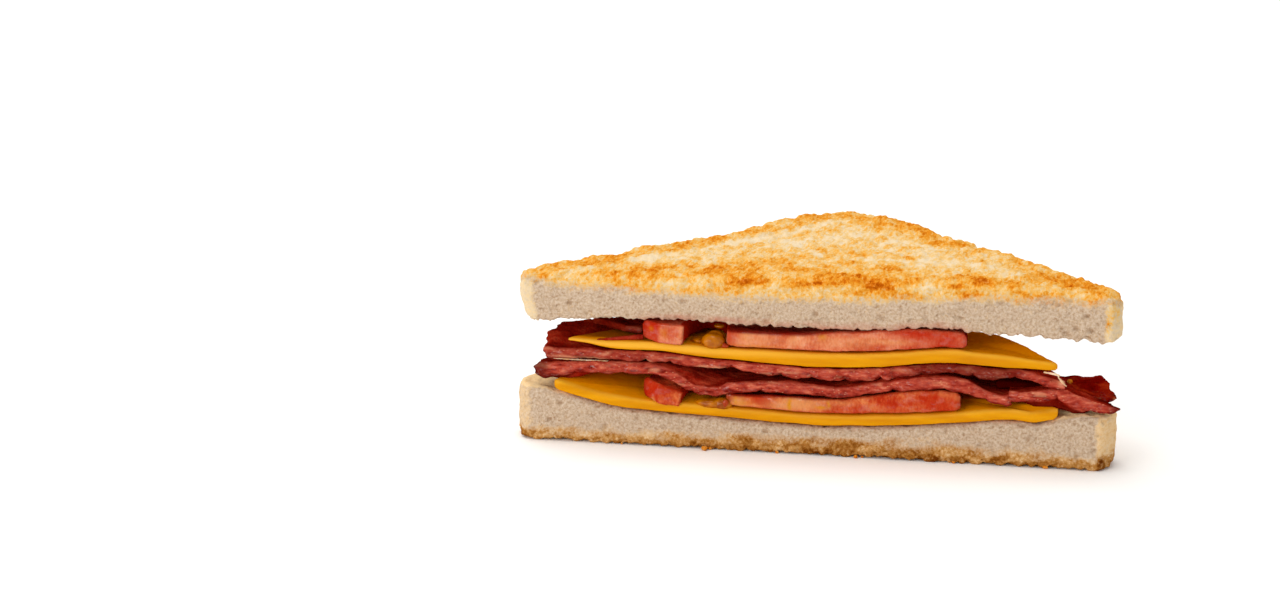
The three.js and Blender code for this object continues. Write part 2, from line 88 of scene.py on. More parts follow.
def cells(points, size, seed=0.0):
    """For every point, the distance to the nearest of scattered cell middles, in cell sizes, and
    a random number from 0 to 1 that belongs to that cell."""
    spots = points / np.array(size) + seed
    found = [noise.voronoi(spot) for spot in spots.tolist()]
    near = np.array([distances[0] for distances, _ in found])
    owners = np.array([tuple(middles[0]) for _, middles in found])
    luck = np.modf(np.abs(np.sin(owners @ SCRAMBLE) * SCRAMBLE_SCALE))[0]
    return near, luck


def marks(across, up, spots):
    """Soft spots added up; each is a middle across and up, a radius both ways and a strength."""
    total = np.zeros(len(across))
    for middle_across, middle_up, wide, high, strength in spots:
        apart = ((across - middle_across) / wide) ** 2 + ((up - middle_up) / high) ** 2
        total += strength * np.exp(-apart)
    return total


# ---- Shaping a layer ----


def new_piece(name, mesh):
    piece = bpy.data.objects.new(name, mesh)
    bpy.context.scene.collection.objects.link(piece)
    return piece


def bake_modifiers(piece):
    view = bpy.context.evaluated_depsgraph_get()
    view.update()
    piece.data = bpy.data.meshes.new_from_object(piece.evaluated_get(view))
    piece.modifiers.clear()
    piece.data.shade_smooth()


def even_faces(piece, grid):
    """Melts a piece's parts into one surface with even faces, about grid mm across."""
    remesh = piece.modifiers.new("Even faces", "REMESH")
    remesh.mode = "VOXEL"
    remesh.voxel_size = grid * MM
    soften = piece.modifiers.new("Soften", "SMOOTH")
    soften.factor = 0.5
    soften.iterations = 2
    bake_modifiers(piece)


def even_copy(node, name, grid):
    """A copy of a CAD node's mesh with even faces."""
    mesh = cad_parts[node].data.copy()
    mesh.materials.clear()
    merged = bmesh.new()
    merged.from_mesh(mesh)
    bmesh.ops.remove_doubles(merged, verts=merged.verts, dist=1e-6)
    merged.to_mesh(mesh)
    merged.free()
    piece = new_piece(name, mesh)
    even_faces(piece, grid)
    return piece


def read_points(piece):
    """Every vertex in mm, and its normal."""
    count = len(piece.data.vertices)
    points = np.empty(count * 3)
    normals = np.empty(count * 3)
    piece.data.vertices.foreach_get("co", points)
    piece.data.vertex_normals.foreach_get("vector", normals)
    return (points.reshape(-1, 3) - np.array(CUT_MIDDLE)) / MM, normals.reshape(-1, 3)


def write_points(piece, points):
    piece.data.vertices.foreach_set("co", (points * MM + np.array(CUT_MIDDLE)).ravel())
    piece.data.update()


def paint(piece, name, values):
    """Stores a number from 0 to 1 at every vertex, for the material to read."""
    attribute = piece.data.attributes.new(name, "FLOAT", "POINT")
    attribute.data.foreach_set("value", np.clip(values, 0, 1).astype(np.float32))


HALF_LENGTH = 78  # every layer lies within this distance of the middle of the cut
EDGE_STEP = 2.0
FACE_DEPTH = 1.5  # what lies this close behind a layer's foremost point belongs to its cut face


def front_edge(points, lowest):
    """The height of a layer's lower or upper edge along its front, as a function of x."""
    shown = points[points[:, 1] < points[:, 1].min() + FACE_DEPTH]
    middles = np.arange(-HALF_LENGTH, HALF_LENGTH + 1, EDGE_STEP)
    heights = []
    for middle in middles:
        here = shown[np.abs(shown[:, 0] - middle) < EDGE_STEP / 2][:, 2]
        heights.append((here.min() if lowest else here.max()) if len(here) else np.nan)
    heights = np.array(heights)
    known = ~np.isnan(heights)
    return lambda x: np.interp(x, middles[known], heights[known])


# ---- Materials ----


def rgb(red, green, blue):
    """A colour as it looks on a screen, from 0 to 255, in the linear values that a shader takes."""
    shares = [value / 255 for value in (red, green, blue)]
    return tuple(s / 12.92 if s <= 0.04045 else ((s + 0.055) / 1.055) ** 2.4 for s in shares) + (1,)


class Finish:
    """A material being built: its shader and short ways to add the nodes that feed it."""

    def __init__(self, name, **settings):
        self.material = bpy.data.materials.new(name)
        self.material.use_nodes = True
        self.nodes = self.material.node_tree.nodes
        self.links = self.material.node_tree.links
        self.shader = self.nodes["Principled BSDF"]
        self.set(**settings)
        self.place = self.nodes.new("ShaderNodeTexCoord").outputs["Object"]

    def set(self, **settings):
        for socket, value in settings.items():
            self.shader.inputs[socket.replace("_", " ")].default_value = value

    def plug(self, socket, value):
        if isinstance(value, bpy.types.NodeSocket):
            self.links.new(value, socket)
        else:
            socket.default_value = value

    def node(self, kind, **inputs):
        made = self.nodes.new("ShaderNode" + kind)
        for name, value in inputs.items():
            self.plug(made.inputs[name.replace("_", " ")], value)
        return made

    def grid(self, size, seed):
        """Object coordinates, counted in grains of the given size in mm."""
        sizes = size if isinstance(size, tuple) else (size,) * 3
        scale = tuple(1 / (s * MM) for s in sizes)
        shift = (seed, seed * 1.7, seed * 0.6)
        mapping = self.node("Mapping", Vector=self.place, Location=shift, Scale=scale)
        return mapping.outputs["Vector"]

    def grain(self, size, seed=0.0, detail=2.0, roughness=0.5):
        """Noise around 0.5, mostly between 0.3 and 0.7."""
        texture = self.node("TexNoise", Vector=self.grid(size, seed))
        texture.inputs["Scale"].default_value = 1
        texture.inputs["Detail"].default_value = detail
        texture.inputs["Roughness"].default_value = roughness
        return texture.outputs["Fac"]

    def scatter(self, size, seed=0.0):
        """Cells: the distance to each one's middle and a random number for each."""
        texture = self.node("TexVoronoi", Vector=self.grid(size, seed))
        texture.inputs["Scale"].default_value = 1
        return texture.outputs["Distance"], texture.outputs["Color"]

    def painted(self, name):
        attribute = self.nodes.new("ShaderNodeAttribute")
        attribute.attribute_name = name
        return attribute.outputs["Fac"]

    def ramp(self, factor, *stops):
        made = self.node("ValToRGB", Fac=factor)
        elements = made.color_ramp.elements
        while len(elements) < len(stops):
            elements.new(0.5)
        for element, (position, colour) in zip(elements, stops):
            element.position = position
            element.color = colour
        return made.outputs["Color"]

    def span(self, value, low, high, to_low=0.0, to_high=1.0):
        """A value from low to high, carried to another range."""
        made = self.node("MapRange", Value=value)
        made.inputs["From Min"].default_value = low
        made.inputs["From Max"].default_value = high
        made.inputs["To Min"].default_value = to_low
        made.inputs["To Max"].default_value = to_high
        return made.outputs["Result"]

    def math(self, operation, one, other):
        made = self.nodes.new("ShaderNodeMath")
        made.operation = operation
        self.plug(made.inputs[0], one)
        self.plug(made.inputs[1], other)
        return made.outputs["Value"]

    def sum(self, first, *others):
        for other in others:
            first = self.math("ADD", first, other)
        return first

    def mix(self, factor, one, other):
        made = self.nodes.new("ShaderNodeMix")
        made.data_type = "RGBA"
        self.plug(made.inputs[0], factor)
        self.plug(made.inputs[6], one)
        self.plug(made.inputs[7], other)
        return made.outputs[2]

    def colour(self, value):
        self.plug(self.shader.inputs["Base Color"], value)

    def roughness(self, value):
        self.plug(self.shader.inputs["Roughness"], value)

    def coat(self, value):
        self.plug(self.shader.inputs["Coat Weight"], value)

    def shine(self, size, seed, most, dull):
        """Small wet patches, with a coat of up to the given weight where it isn't dull."""
        wet = self.span(self.grain((size * 2, size, size), seed, detail=3), 0.52, 0.66, 0, most)
        self.coat(self.math("MULTIPLY", wet, self.span(dull, 0, 1, 1, 0)))

    def relief(self, height, depth):
        """Bump from a height of 0 to 1 that stands for depth mm."""
        bump = self.node("Bump", Height=height)
        bump.inputs["Distance"].default_value = depth * MM
        bump.inputs["Strength"].default_value = 1
        self.plug(self.shader.inputs["Normal"], bump.outputs["Normal"])


CRUMB_SHADES = (
    (0.3, rgb(165, 136, 109)),
    (0.45, rgb(188, 162, 136)),
    (0.62, rgb(207, 186, 163)),
)
# painted shade for the crumb's holes and pores
PORE_SHADE = rgb(150, 110, 72)
TOMATO_STAIN = rgb(184, 112, 92)
TOAST_SHADES = (
    (0.0, rgb(228, 206, 170)),
    (0.22, rgb(226, 188, 124)),
    (0.42, rgb(226, 168, 78)),
    (0.6, rgb(220, 142, 38)),
    (0.8, rgb(202, 108, 14)),
    (1.0, rgb(164, 72, 4)),
)
BASE_SHADES = (
    (0.0, rgb(236, 202, 152)),
    (0.22, rgb(202, 154, 96)),
    (0.5, rgb(174, 120, 58)),
    (0.78, rgb(140, 84, 26)),
    (1.0, rgb(100, 48, 8)),
)


def bread_finish(name, toast_shades, seed):
    """Pale open crumb with painted shade in its holes; toast where painted, darker where browned is."""
    finish = Finish(name, Roughness=0.85, Specular_IOR_Level=0.0)
    fibre = finish.grain((0.65, 0.65, 0.65), seed, detail=4, roughness=0.65)
    crumb = finish.ramp(fibre, *CRUMB_SHADES)
    # painted shade: the crumb is darker in its holes and where pores and shade are painted on the mesh
    hole, _ = finish.scatter((1.7, 1.7, 1.2), seed)
    in_hole = finish.span(hole, 0.14, 0.3, 0.6, 0)
    holes = finish.math("MULTIPLY", in_hole, finish.span(fibre, 0.4, 0.5, 1, 0))
    crumb = finish.mix(finish.sum(holes, finish.painted("pore_and_shade")), crumb, PORE_SHADE)
    crumb = finish.mix(finish.painted("stain"), crumb, TOMATO_STAIN)
    grit = finish.grain((0.7, 1.8, 0.7), seed + 3, detail=4, roughness=0.7)
    _, flake = finish.scatter((0.9, 2.4, 0.9), seed + 6)
    speckle = finish.sum(finish.span(grit, 0.35, 0.65, -0.2, 0.2), finish.span(flake, 0, 1, -0.13, 0.13))
    calm = finish.span(finish.painted("browned"), 0, 0.25, 0.35, 1)
    browned = finish.sum(finish.painted("browned"), finish.math("MULTIPLY", speckle, calm))
    toast = finish.ramp(browned, *toast_shades)
    # the toast colour also stands for painted light on some shaded crumb
    edge = finish.sum(finish.painted("toast_and_light"), speckle)
    finish.colour(finish.mix(finish.span(edge, 0.1, 0.9), crumb, toast))
    finish.relief(finish.sum(fibre, grit), 0.2)
    return finish.material


CHEESE_CUT = ((0.3, rgb(202, 128, 0)), (0.5, rgb(212, 140, 0)), (0.7, rgb(222, 152, 4)))
CHEESE_SIDES = rgb(238, 146, 0)
CHEESE_LIT = rgb(236, 174, 54)  # painted light on the upper edge of the cut
CHEESE_SHADOW = rgb(120, 54, 4)


def cheese_finish():
    """Smooth, slightly waxy slices with a soft gloss."""
    finish = Finish("Cheese", Specular_IOR_Level=0.0, Coat_Roughness=0.3)
    finish.set(Subsurface_Weight=0.08, Subsurface_Radius=(0.003, 0.0018, 0.0003), Subsurface_Scale=0.6)
    cloud = finish.grain((14, 14, 2.2), 2.0)
    body = finish.mix(finish.painted("front"), CHEESE_SIDES, finish.ramp(cloud, *CHEESE_CUT))
    # painted light on the upper edge of the cut, then painted shade on the top behind the thin tip
    body = finish.mix(finish.painted("edge_light"), body, CHEESE_LIT)
    finish.colour(finish.mix(finish.painted("shaded"), body, CHEESE_SHADOW))
    finish.coat(finish.span(finish.painted("front"), 0, 1, 0, 0.12))
    finish.roughness(finish.span(finish.grain(3, 5.0), 0.3, 0.7, 0.38, 0.55))
    finish.relief(finish.grain((2.5, 2.5, 1.2), 4.0, detail=3), 0.1)
    return finish.material


RED_TINT = rgb(176, 34, 10)
PALE_TINT = rgb(218, 150, 92)
GOLD_TINT = rgb(204, 132, 14)
TOMATO_SKIN_AND_SHADE = rgb(120, 6, 2)


def tomato_finish(name, shades, seed):
    """Wet flesh, dark red where peel and painted shade are painted; red, pale and gold tint it further."""
    finish = Finish(name, Specular_IOR_Level=0.0, Coat_Roughness=0.1)
    finish.set(Subsurface_Weight=0.1, Subsurface_Radius=(0.003, 0.001, 0.0005), Subsurface_Scale=0.6)
    cloud = finish.grain((5, 5, 3), seed, detail=3)
    fibre = finish.span(finish.grain((0.5, 0.5, 1.1), seed + 2, detail=3), 0.3, 0.7, -0.1, 0.1)
    flesh = finish.ramp(finish.sum(cloud, fibre), *shades)
    flesh = finish.mix(finish.painted("red"), flesh, RED_TINT)
    flesh = finish.mix(finish.painted("pale"), flesh, PALE_TINT)
    flesh = finish.mix(finish.painted("gold"), flesh, GOLD_TINT)
    # the dark red of the peel is also painted as shade
    finish.colour(finish.mix(finish.painted("skin_and_shade"), flesh, TOMATO_SKIN_AND_SHADE))
    finish.roughness(finish.span(finish.grain(1.2, seed + 6), 0.3, 0.7, 0.3, 0.55))
    finish.shine(1.0, seed + 8, 1.0, finish.painted("broad"))
    finish.relief(finish.grain((0.8, 0.8, 1.2), seed + 4, detail=3), 0.35)
    return finish.material


# the colour of char, also painted as shade
BACON_CHAR_AND_SHADE = rgb(74, 4, 1)


def bacon_finish(name, face, broad, fleck, seed):
    """Cut face with pale flecks of fat, darker broad sides, and char and painted shade where painted."""
    finish = Finish(name, Specular_IOR_Level=0.0, Coat_Roughness=0.12)
    fibre = finish.grain((2.6, 1.2, 0.8), seed, detail=5, roughness=0.6)
    cloud = finish.span(finish.grain((5, 5, 1.6), seed + 5), 0.3, 0.7, -0.12, 0.12)
    # painted light: the cut face is lighter towards its top, darker towards its bottom
    light = finish.span(finish.painted("height"), 0, 1, -0.12, 0.1)
    meat = finish.ramp(finish.sum(fibre, cloud, light), *face)
    outside = finish.ramp(finish.grain((6, 2.5, 3), seed + 8, detail=4, roughness=0.6), *broad)
    body = finish.mix(finish.painted("broad"), meat, outside)
    spot, luck = finish.scatter((1.2, 1.0, 0.6), seed + 1)
    flecks = finish.math("MULTIPLY", finish.span(spot, 0.1, 0.25, 0.55, 0), finish.span(luck, 0.45, 0.65))
    flecks = finish.math("MULTIPLY", flecks, finish.span(finish.painted("broad"), 0, 1, 1, 0.2))
    body = finish.mix(finish.sum(flecks, finish.painted("fat")), body, fleck)
    finish.colour(finish.mix(finish.painted("char_and_shade"), body, BACON_CHAR_AND_SHADE))
    finish.roughness(finish.span(fibre, 0.3, 0.7, 0.6, 0.35))
    finish.shine(0.6, seed + 8, 0.8, finish.painted("broad"))
    finish.relief(finish.sum(fibre, finish.grain(0.5, seed + 3)), 0.22)
    return finish.material


# ---- Bread ----

SLICE_REACH = 79.2  # half the diagonal of a slice
SIDE_BOW = 1  # how far inside its straight sides a slice's outline lies
SLICE_GRID = 0.47
UPPER_CUT = 6  # how far each slice goes past its diagonal
LOWER_CUT = 7.3
UPPER_SHIFT = 0.7  # how far the upper slice has slid along the cut
UPPER_TOP = 45  # height of the toasted top over the middle of the cut
UPPER_TILT = 0.022  # its rise for each millimetre along the cut
SHOULDER_DEPTH = 6  # how far behind the cut the pressed-down front of the top ends
LIFT_BEHIND = 0.268  # how much higher a point looks for each millimetre that it lies behind the cut
SHIFT_BEHIND = 0.193  # and how much further to the right


def pores(points, seed):
    """How deep each point lies in a hole of the crumb, from 0 to 1."""
    near, luck = cells(points, (2.8, 2.8, 1.8), seed)
    large = ease(near, 0.4, 0.12) * (luck > 0.72)
    near, luck = cells(points, (1.5, 1.5, 1.0), seed + 7)
    small = ease(near, 0.4, 0.15) * (luck > 0.55) * 0.6
    return np.maximum(large, small)


def torn_crumb(points, seed):
    """The unevenness of torn crumb, in mm."""
    return 0.28 * rough(points, (2.6, 2.6, 2.0), seed) + 0.11 * rough(points, 0.9, seed + 1)


def toast_grains(points, seed):
    """The relief of toasted bread, in mm, and a random number for each clump."""
    clump_near, clump_luck = cells(points, (2.4, 3.6, 2.0), seed)
    grain_near, _ = cells(points, (1.3, 1.7, 1.2), seed + 1)
    relief = 0.8 * (0.42 - clump_near) + 0.5 * (0.42 - grain_near)
    return relief, clump_luck


def rim_distance(points, shift, cut):
    """Distance in plan from a slice's slanting sides."""
    return (SLICE_REACH + cut - np.abs(points[:, 0] - shift) - points[:, 1]) / math.sqrt(2) - SIDE_BOW


BROWN_SPOTS = (  # where the toast is darkest: x, y, radius both ways and how much
    (-33, 0.7, 2.6, 2.5, 0.3), (-27.6, 5.3, 3, 3, 0.3), (-22.5, 11, 4.4, 3.1, 0.35),
    (-13.9, -1.4, 4.6, 3.6, 0.45), (-17.9, -4.9, 3.4, 3, 0.25), (-9.8, 14.4, 6, 5, 0.22),
    (2, -1.8, 4, 3, 0.28), (10, 1.1, 4, 4.5, 0.22), (12.2, -10.6, 3.4, 3, 0.45),
    (6.9, 21.4, 3, 3.7, 0.2), (3.6, 8.1, 7, 2.5, 0.15), (-38.8, 8.3, 3.4, 6, 0.2),
    (20.1, -5.3, 2.8, 4.9, 0.35), (26.2, -10.8, 2.2, 2.2, 0.3), (13.5, -1.1, 5, 7, 0.2),
    (35.6, -1.7, 2, 2.9, 0.5), (41.7, 3.2, 2.4, 4, 0.42), (41.7, -8.7, 5.4, 3.1, 0.42),
    (38.2, 9.6, 3.2, 3, 0.22), (51.4, 0.3, 3, 2.4, 0.18), (47.4, 6, 2.6, 4.2, 0.18),
    (51.7, -5.8, 1.2, 2.2, 0.25), (21.4, 27.7, 2.2, 3.2, 0.2), (26.2, 43.7, 2, 2.5, 0.35),
    (19.7, 58.6, 5, 5.7, 0.2), (57, 14.4, 8, 8, 0.08), (65.4, 7.2, 4.4, 5.5, 0.15),
    (17.1, 15.1, 2.4, 2.6, 0.18), (8.7, 43.3, 3.6, 4, 0.15), (33.3, 6.1, 2.2, 2, 0.2),
    (-54, 3, 6, 2.5, 0.15),
)
CREAM_SPOTS = (  # and where it stayed palest
    (-0.2, -10.9, 9, 4.4, 0.3), (-30, -6.2, 11, 2.5, 0.2), (-43, 16, 6, 6, 0.2), (-13.8, 41, 11, 7, 0.2),
    (1.3, 44.8, 6, 7, 0.2), (-29, 17.7, 4, 3.1, 0.2), (27.9, -4.5, 5, 3.7, 0.25), (30.6, 23.9, 8, 11, 0.22),
    (55.7, -1, 6, 6, 0.22), (44.7, 20.1, 6, 5, 0.15), (15.4, 41.2, 7, 8, 0.2), (17.4, -13, 2.4, 1.8, 0.15),
    (35.9, -11, 2.4, 2, 0.2), (-60, 8, 5, 3, 0.2), (70, 6, 3, 4, 0.2), (51, 12, 9, 6, 0.14),
)
RIM_RIDGE = 11.4  # the ridge that the left rim leaves, this far from the slice's side
RIM_BROWN = 0.62  # the rims are no browner than this
LEFT_CRUST = (-69.6, -71)  # where the crumb of the cut turns to crust at either end
RIGHT_CRUST = (71.6, 72.6)
RIGHT_CRUST_SPOTS = ((72.4, 37.4, 0.9, 1.6, 0.6), (74, 40, 1.5, 2, 0.2))  # x, z
STAIN = {"x": -2, "half": 44, "full": 36}  # where tomato stains the upper slice's underside
TOAST_EDGE = (  # along the cut, the height at which crumb turns to toast
    (-72, -62, -50, -30, -10, 7, 16, 28, 40, 52, 64, 74),
    (42.2, 41, 40.3, 39.8, 39.6, 40.1, 40.8, 41.5, 42.1, 42.6, 42.8, 42.8),
)


def upper_browning(shaped, x, y, z, facing_up, rim, waves, clump_luck):
    """How brown the upper slice is: darkest in its spots and along its rims, pale on its sides. Its
    spots lie on the level of the top, and the part that is pressed down shows the ones before it."""
    pressed = np.where(y < SHOULDER_DEPTH, UPPER_TOP + UPPER_TILT * x - z, 0) / LIFT_BEHIND
    over_x, over_y = x + SHIFT_BEHIND * pressed, y - pressed
    browned = 0.3 + 0.24 * rough(shaped, (7, 9, 9), 11.0) + 0.22 * rough(shaped, (2.8, 4.4, 3), 12.0)
    browned += 0.12 * ease(y, 24, 10) + 0.2 * (clump_luck - 0.5)
    browned += marks(over_x, over_y, BROWN_SPOTS) - marks(over_x, over_y, CREAM_SPOTS)
    on_left = ease(x, 5, -5)
    left_rim = ease(rim + waves, 12.2, 11) * on_left * ease(x, -66, -56)
    right_rim = ease(rim + waves, 16, 8) * ease(x, -5, 5)
    rims = left_rim * (0.2 + 0.16 * waves) + right_rim * (0.12 + 0.16 * waves)
    browned += ease(y, 1.5, SHOULDER_DEPTH) * rims
    browned -= 0.2 * hump(rim, 14, 1.8) * on_left
    browned = np.where(rim < 9, np.minimum(browned, RIM_BROWN), browned)
    sides = 0.1 + 0.12 * waves + 0.2 * ease(x, 64, 75)
    return browned * facing_up + sides * (1 - facing_up)


def tear_underside(points, x, y, z, under):
    """Tears the lower edge of the upper slice's cut face and draws its left end in."""
    torn = ease(z - under(x), 2.4, 0.3) * ease(y, 3.5, 0.8)
    along = points * [1, 0.3, 0]
    points[:, 2] -= torn * (0.4 + (0.7 * rough(along, 1.9, 9.0) + 0.5 * rough(along, 0.8, 10.0)))
    points[:, 0] += 1.4 * ease(x, -66, -72) * ease(z, 38, 32)


def upper_slice():
    piece = even_copy("top_toast", "upper_slice", SLICE_GRID)
    points, normals = read_points(piece)
    under = front_edge(points, lowest=True)
    x, y, z = points.T
    facing_up = ease(normals[:, 2], 0.1, 0.5)
    facing_out = ease(-normals[:, 1], 0.45, 0.8) * ease(y, 6, 4)
    rim = rim_distance(points, UPPER_SHIFT, UPPER_CUT)
    past_edge = z + LIFT_BEHIND * np.minimum(y, SHOULDER_DEPTH) - np.interp(x, *TOAST_EDGE)
    waves = rough(points, 9, 1.0)
    toast_and_light = ease(past_edge + 1.2 * rough(points, (6, 6, 3), 2.0), -2, 2)
    toast_and_light = np.maximum(toast_and_light, 0.6 * ease(y, 1.5, 4)) * (1 - 0.5 * ease(-normals[:, 2], 0.3, 0.7))
    grains, clump_luck = toast_grains(points, 4.0)
    pore_and_shade = pores(points, 3.0)
    bulges = 0.8 * rough(points, (8, 8, 20), 6.0) + 0.4 * rough(points, (3.2, 3.2, 9), 5.0)
    bulges *= ease(rim, 12, 2)
    lift = toast_and_light * (grains + bulges) + (1 - toast_and_light) * (torn_crumb(points, 7.0) - 0.7 * pore_and_shade)
    side = ease(rim, 3, 0.5) * (1 - facing_up)
    lift += side * 0.8 * np.maximum(rough(points, (4, 4, 7), 8.0), -0.4)
    lift += 0.35 * hump(rim, RIM_RIDGE, 0.8) * facing_up * ease(x, 5, -5)
    points = points + normals * lift[:, None]
    tear_underside(points, x, y, z, under)
    write_points(piece, points)

    browned = upper_browning(points, x, y, z, facing_up, rim, waves, clump_luck)
    shoulder = ease(past_edge, -1.6, 0.4) * ease(past_edge, 4.4, 1.4)
    browned = np.maximum(browned, 0.28 * shoulder * facing_out)
    wander = 0.9 * rough(points, (2, 2, 2), 14.0)
    left_crust = ease(x + wander, *LEFT_CRUST) * (1 - facing_up)
    right_crust = ease(x + 0.3 * wander, *RIGHT_CRUST) * (1 - facing_up)
    # the crust at both ends is painted as pale toast; at the left end it is painted palest, as painted light
    # from the left
    toast_and_light = np.maximum(toast_and_light, 0.8 * np.maximum(left_crust, right_crust))
    browned = browned * (1 - left_crust) * (1 - right_crust) + 0.02 * left_crust
    browned += right_crust * (0.05 + marks(x, z, RIGHT_CRUST_SPOTS))
    over_tomato = ease(np.abs(x - STAIN["x"]), STAIN["half"], STAIN["full"])
    stain = ease(z - under(x), 2.4, 0.2) * over_tomato * ease(y, 4, 1)
    # painted shade: the crumb of the cut face is darker in its pores
    paint(piece, "pore_and_shade", pore_and_shade * facing_out * 0.5)
    paint(piece, "toast_and_light", toast_and_light)
    paint(piece, "browned", browned)
    paint(piece, "stain", stain * (0.45 + 0.6 * rough(points, (5, 5, 1.2), 13.0)))
    piece.data.materials.append(bread_finish("Toasted top", TOAST_SHADES, 1.0))
    return piece


LOWER_CRUST = (70.2, 71.6)  # where crumb turns to crust at both ends of the lower slice's cut
BASE_BAND = 3.2  # height of the browned band at the ends of the lower slice's cut face
BASE_RISE = 2.2  # and how much higher it is in the middle
FILLING_SHADE = ((52, 11.8, 2, 0.8, 0.4), (60, 12.6, 3, 1, 0.4))  # under the bacon's right end: x, z
BASE_CORNER_SPOTS = ((72.5, 2.2, 1, 1.4, 0.5), (70, 3.4, 1.5, 1, 0.2))


def lower_slice():
    piece = even_copy("bottom_toast", "lower_slice", SLICE_GRID)
    points, normals = read_points(piece)
    x, y, z = points.T
    rim = rim_distance(points, 0, LOWER_CUT)
    pore_and_shade = pores(points, 23.0)
    cut_ends = ease(np.abs(x) + 0.8 * rough(points, 2, 20.0), *LOWER_CRUST) * ease(y, 14, 10)
    at_side = np.maximum(ease(y, 2, 5) * ease(rim, 4, 1.5), cut_ends)
    band = BASE_BAND + BASE_RISE * hump(x, 14, 48)
    base = ease(z + 1.8 * rough(points, (6, 6, 2.5), 21.0), band + 1.2, band * 0.4)
    grains, clump_luck = toast_grains(points, 24.0)
    lift = (1 - base) * (torn_crumb(points, 22.0) - 0.6 * pore_and_shade) + base * grains * 1.1
    points = points + normals * lift[:, None]
    outside = ease(np.minimum(y, rim), 4, 1.2)
    low = ease(z, 2.0, 0.3)
    points[:, 1] -= 0.75 * np.clip(y, 0, 1.8) * low * ease(y, 8, 2)
    in_plan = points * [1, 1, 0]
    teeth = 0.3 + 0.7 * rough(in_plan, 1.7, 26.0) + 0.6 * rough(in_plan, 0.8, 27.0)
    points[:, 2] += low * np.maximum(teeth, 0) * outside
    points[:, 2] = np.maximum(points[:, 2], 0)
    write_points(piece, points)

    browned = 0.36 + 0.2 * hump(x, 16, 45) + 0.45 * (clump_luck - 0.5) + 0.2 * rough(points, 5, 28.0)
    browned += 0.12 * ease(z, 1.8, 0.5)
    # painted light from the left: the crust at the left end of the cut is painted paler, with less toast
    # colour and no browning
    left_end = ease(x, -66, -69) * (1 - base)
    past_filling = np.maximum(ease(x, -58, -64), ease(x, 56, 62))
    # painted warm light: beyond the filling, the shaded crumb on top is painted as pale toast
    warm_light_on_top = 0.9 * ease(normals[:, 2], 0.4, 0.8) * ease(y, 0.3, 1.2) * past_filling
    side_toast = (0.8 - 0.35 * ease(x, -60, -68)) * at_side
    corner = marks(x, z, BASE_CORNER_SPOTS)
    # painted shade: the crumb is darker in its pores, and under the bacon's right end
    paint(piece, "pore_and_shade", pore_and_shade * (1 - base) * 0.5 + marks(x, z, FILLING_SHADE) * ease(y, 3, 1))
    paint(piece, "toast_and_light", np.maximum(np.maximum(base, warm_light_on_top), side_toast))
    paint(piece, "browned", browned * base + (0.04 * (1 - left_end) + corner) * at_side)
    paint(piece, "stain", np.zeros(len(points)))
    piece.data.materials.append(bread_finish("Toasted base", BASE_SHADES, 31.0))
    return piece


# ---- Cheese ----

CHEESE_GRID = 0.45


def cheese_slice(node, name, seed, material, tip, shaded):
    """A slice whose left tip thins to the given share; shaded is how dark its top gets behind that tip."""
    piece = even_copy(node, name, CHEESE_GRID)
    points, normals = read_points(piece)
    x, y, z = points.T
    under = front_edge(points, lowest=True)
    over = front_edge(points, lowest=False)
    height = (z - under(x)) / np.maximum(over(x) - under(x), 0.5)
    facing_out = ease(-normals[:, 1], 0.3, 0.7) * ease(y, 3, 1)
    waves = 0.25 * rough(points, (10, 10, 30), seed) + 0.06 * rough(points, 2.5, seed + 1)
    points = points + normals * waves[:, None]
    thinner = (1 - tip) * ease(x, -50, -61) * ease(y, 8, 2)
    points[:, 2] += thinner * np.maximum(over(x) - z, 0)
    write_points(piece, points)
    # painted light: the upper part of the cut face is painted lighter, more strongly and lower down towards a
    # thin left tip
    thin_end = ease(x, 10, -40) * (1 - tip)
    lit = (0.6 + 0.4 * thin_end) * ease(height + 0.8 * thin_end, 0.55, 0.95) * ease(y, 1.5, 0.5)
    paint(piece, "front", facing_out)
    paint(piece, "edge_light", lit)
    paint(piece, "shaded", shaded * ease(x, -38, -46) * ease(y, 1.2, 4) * ease(normals[:, 2], 0.3, 0.8))
    piece.data.materials.append(material)
    return piece


# ---- Tomato ----

TOMATO_GRID = 0.38
CHUNK_END = -31.8  # right end of the chunk of each slice that stands left of the open seed chamber
CHUNK_EDGE = -38  # the chunk's upright edge, left of which it turns away from the cut
CHAMBER = {"x": -26.4, "half": 5.3, "depth": 13}
PINK_FLESH = ((0.3, rgb(182, 60, 34)), (0.5, rgb(208, 108, 74)), (0.7, rgb(224, 144, 108)))
RED_FLESH = ((0.3, rgb(172, 50, 22)), (0.5, rgb(200, 90, 48)), (0.7, rgb(218, 128, 76)))


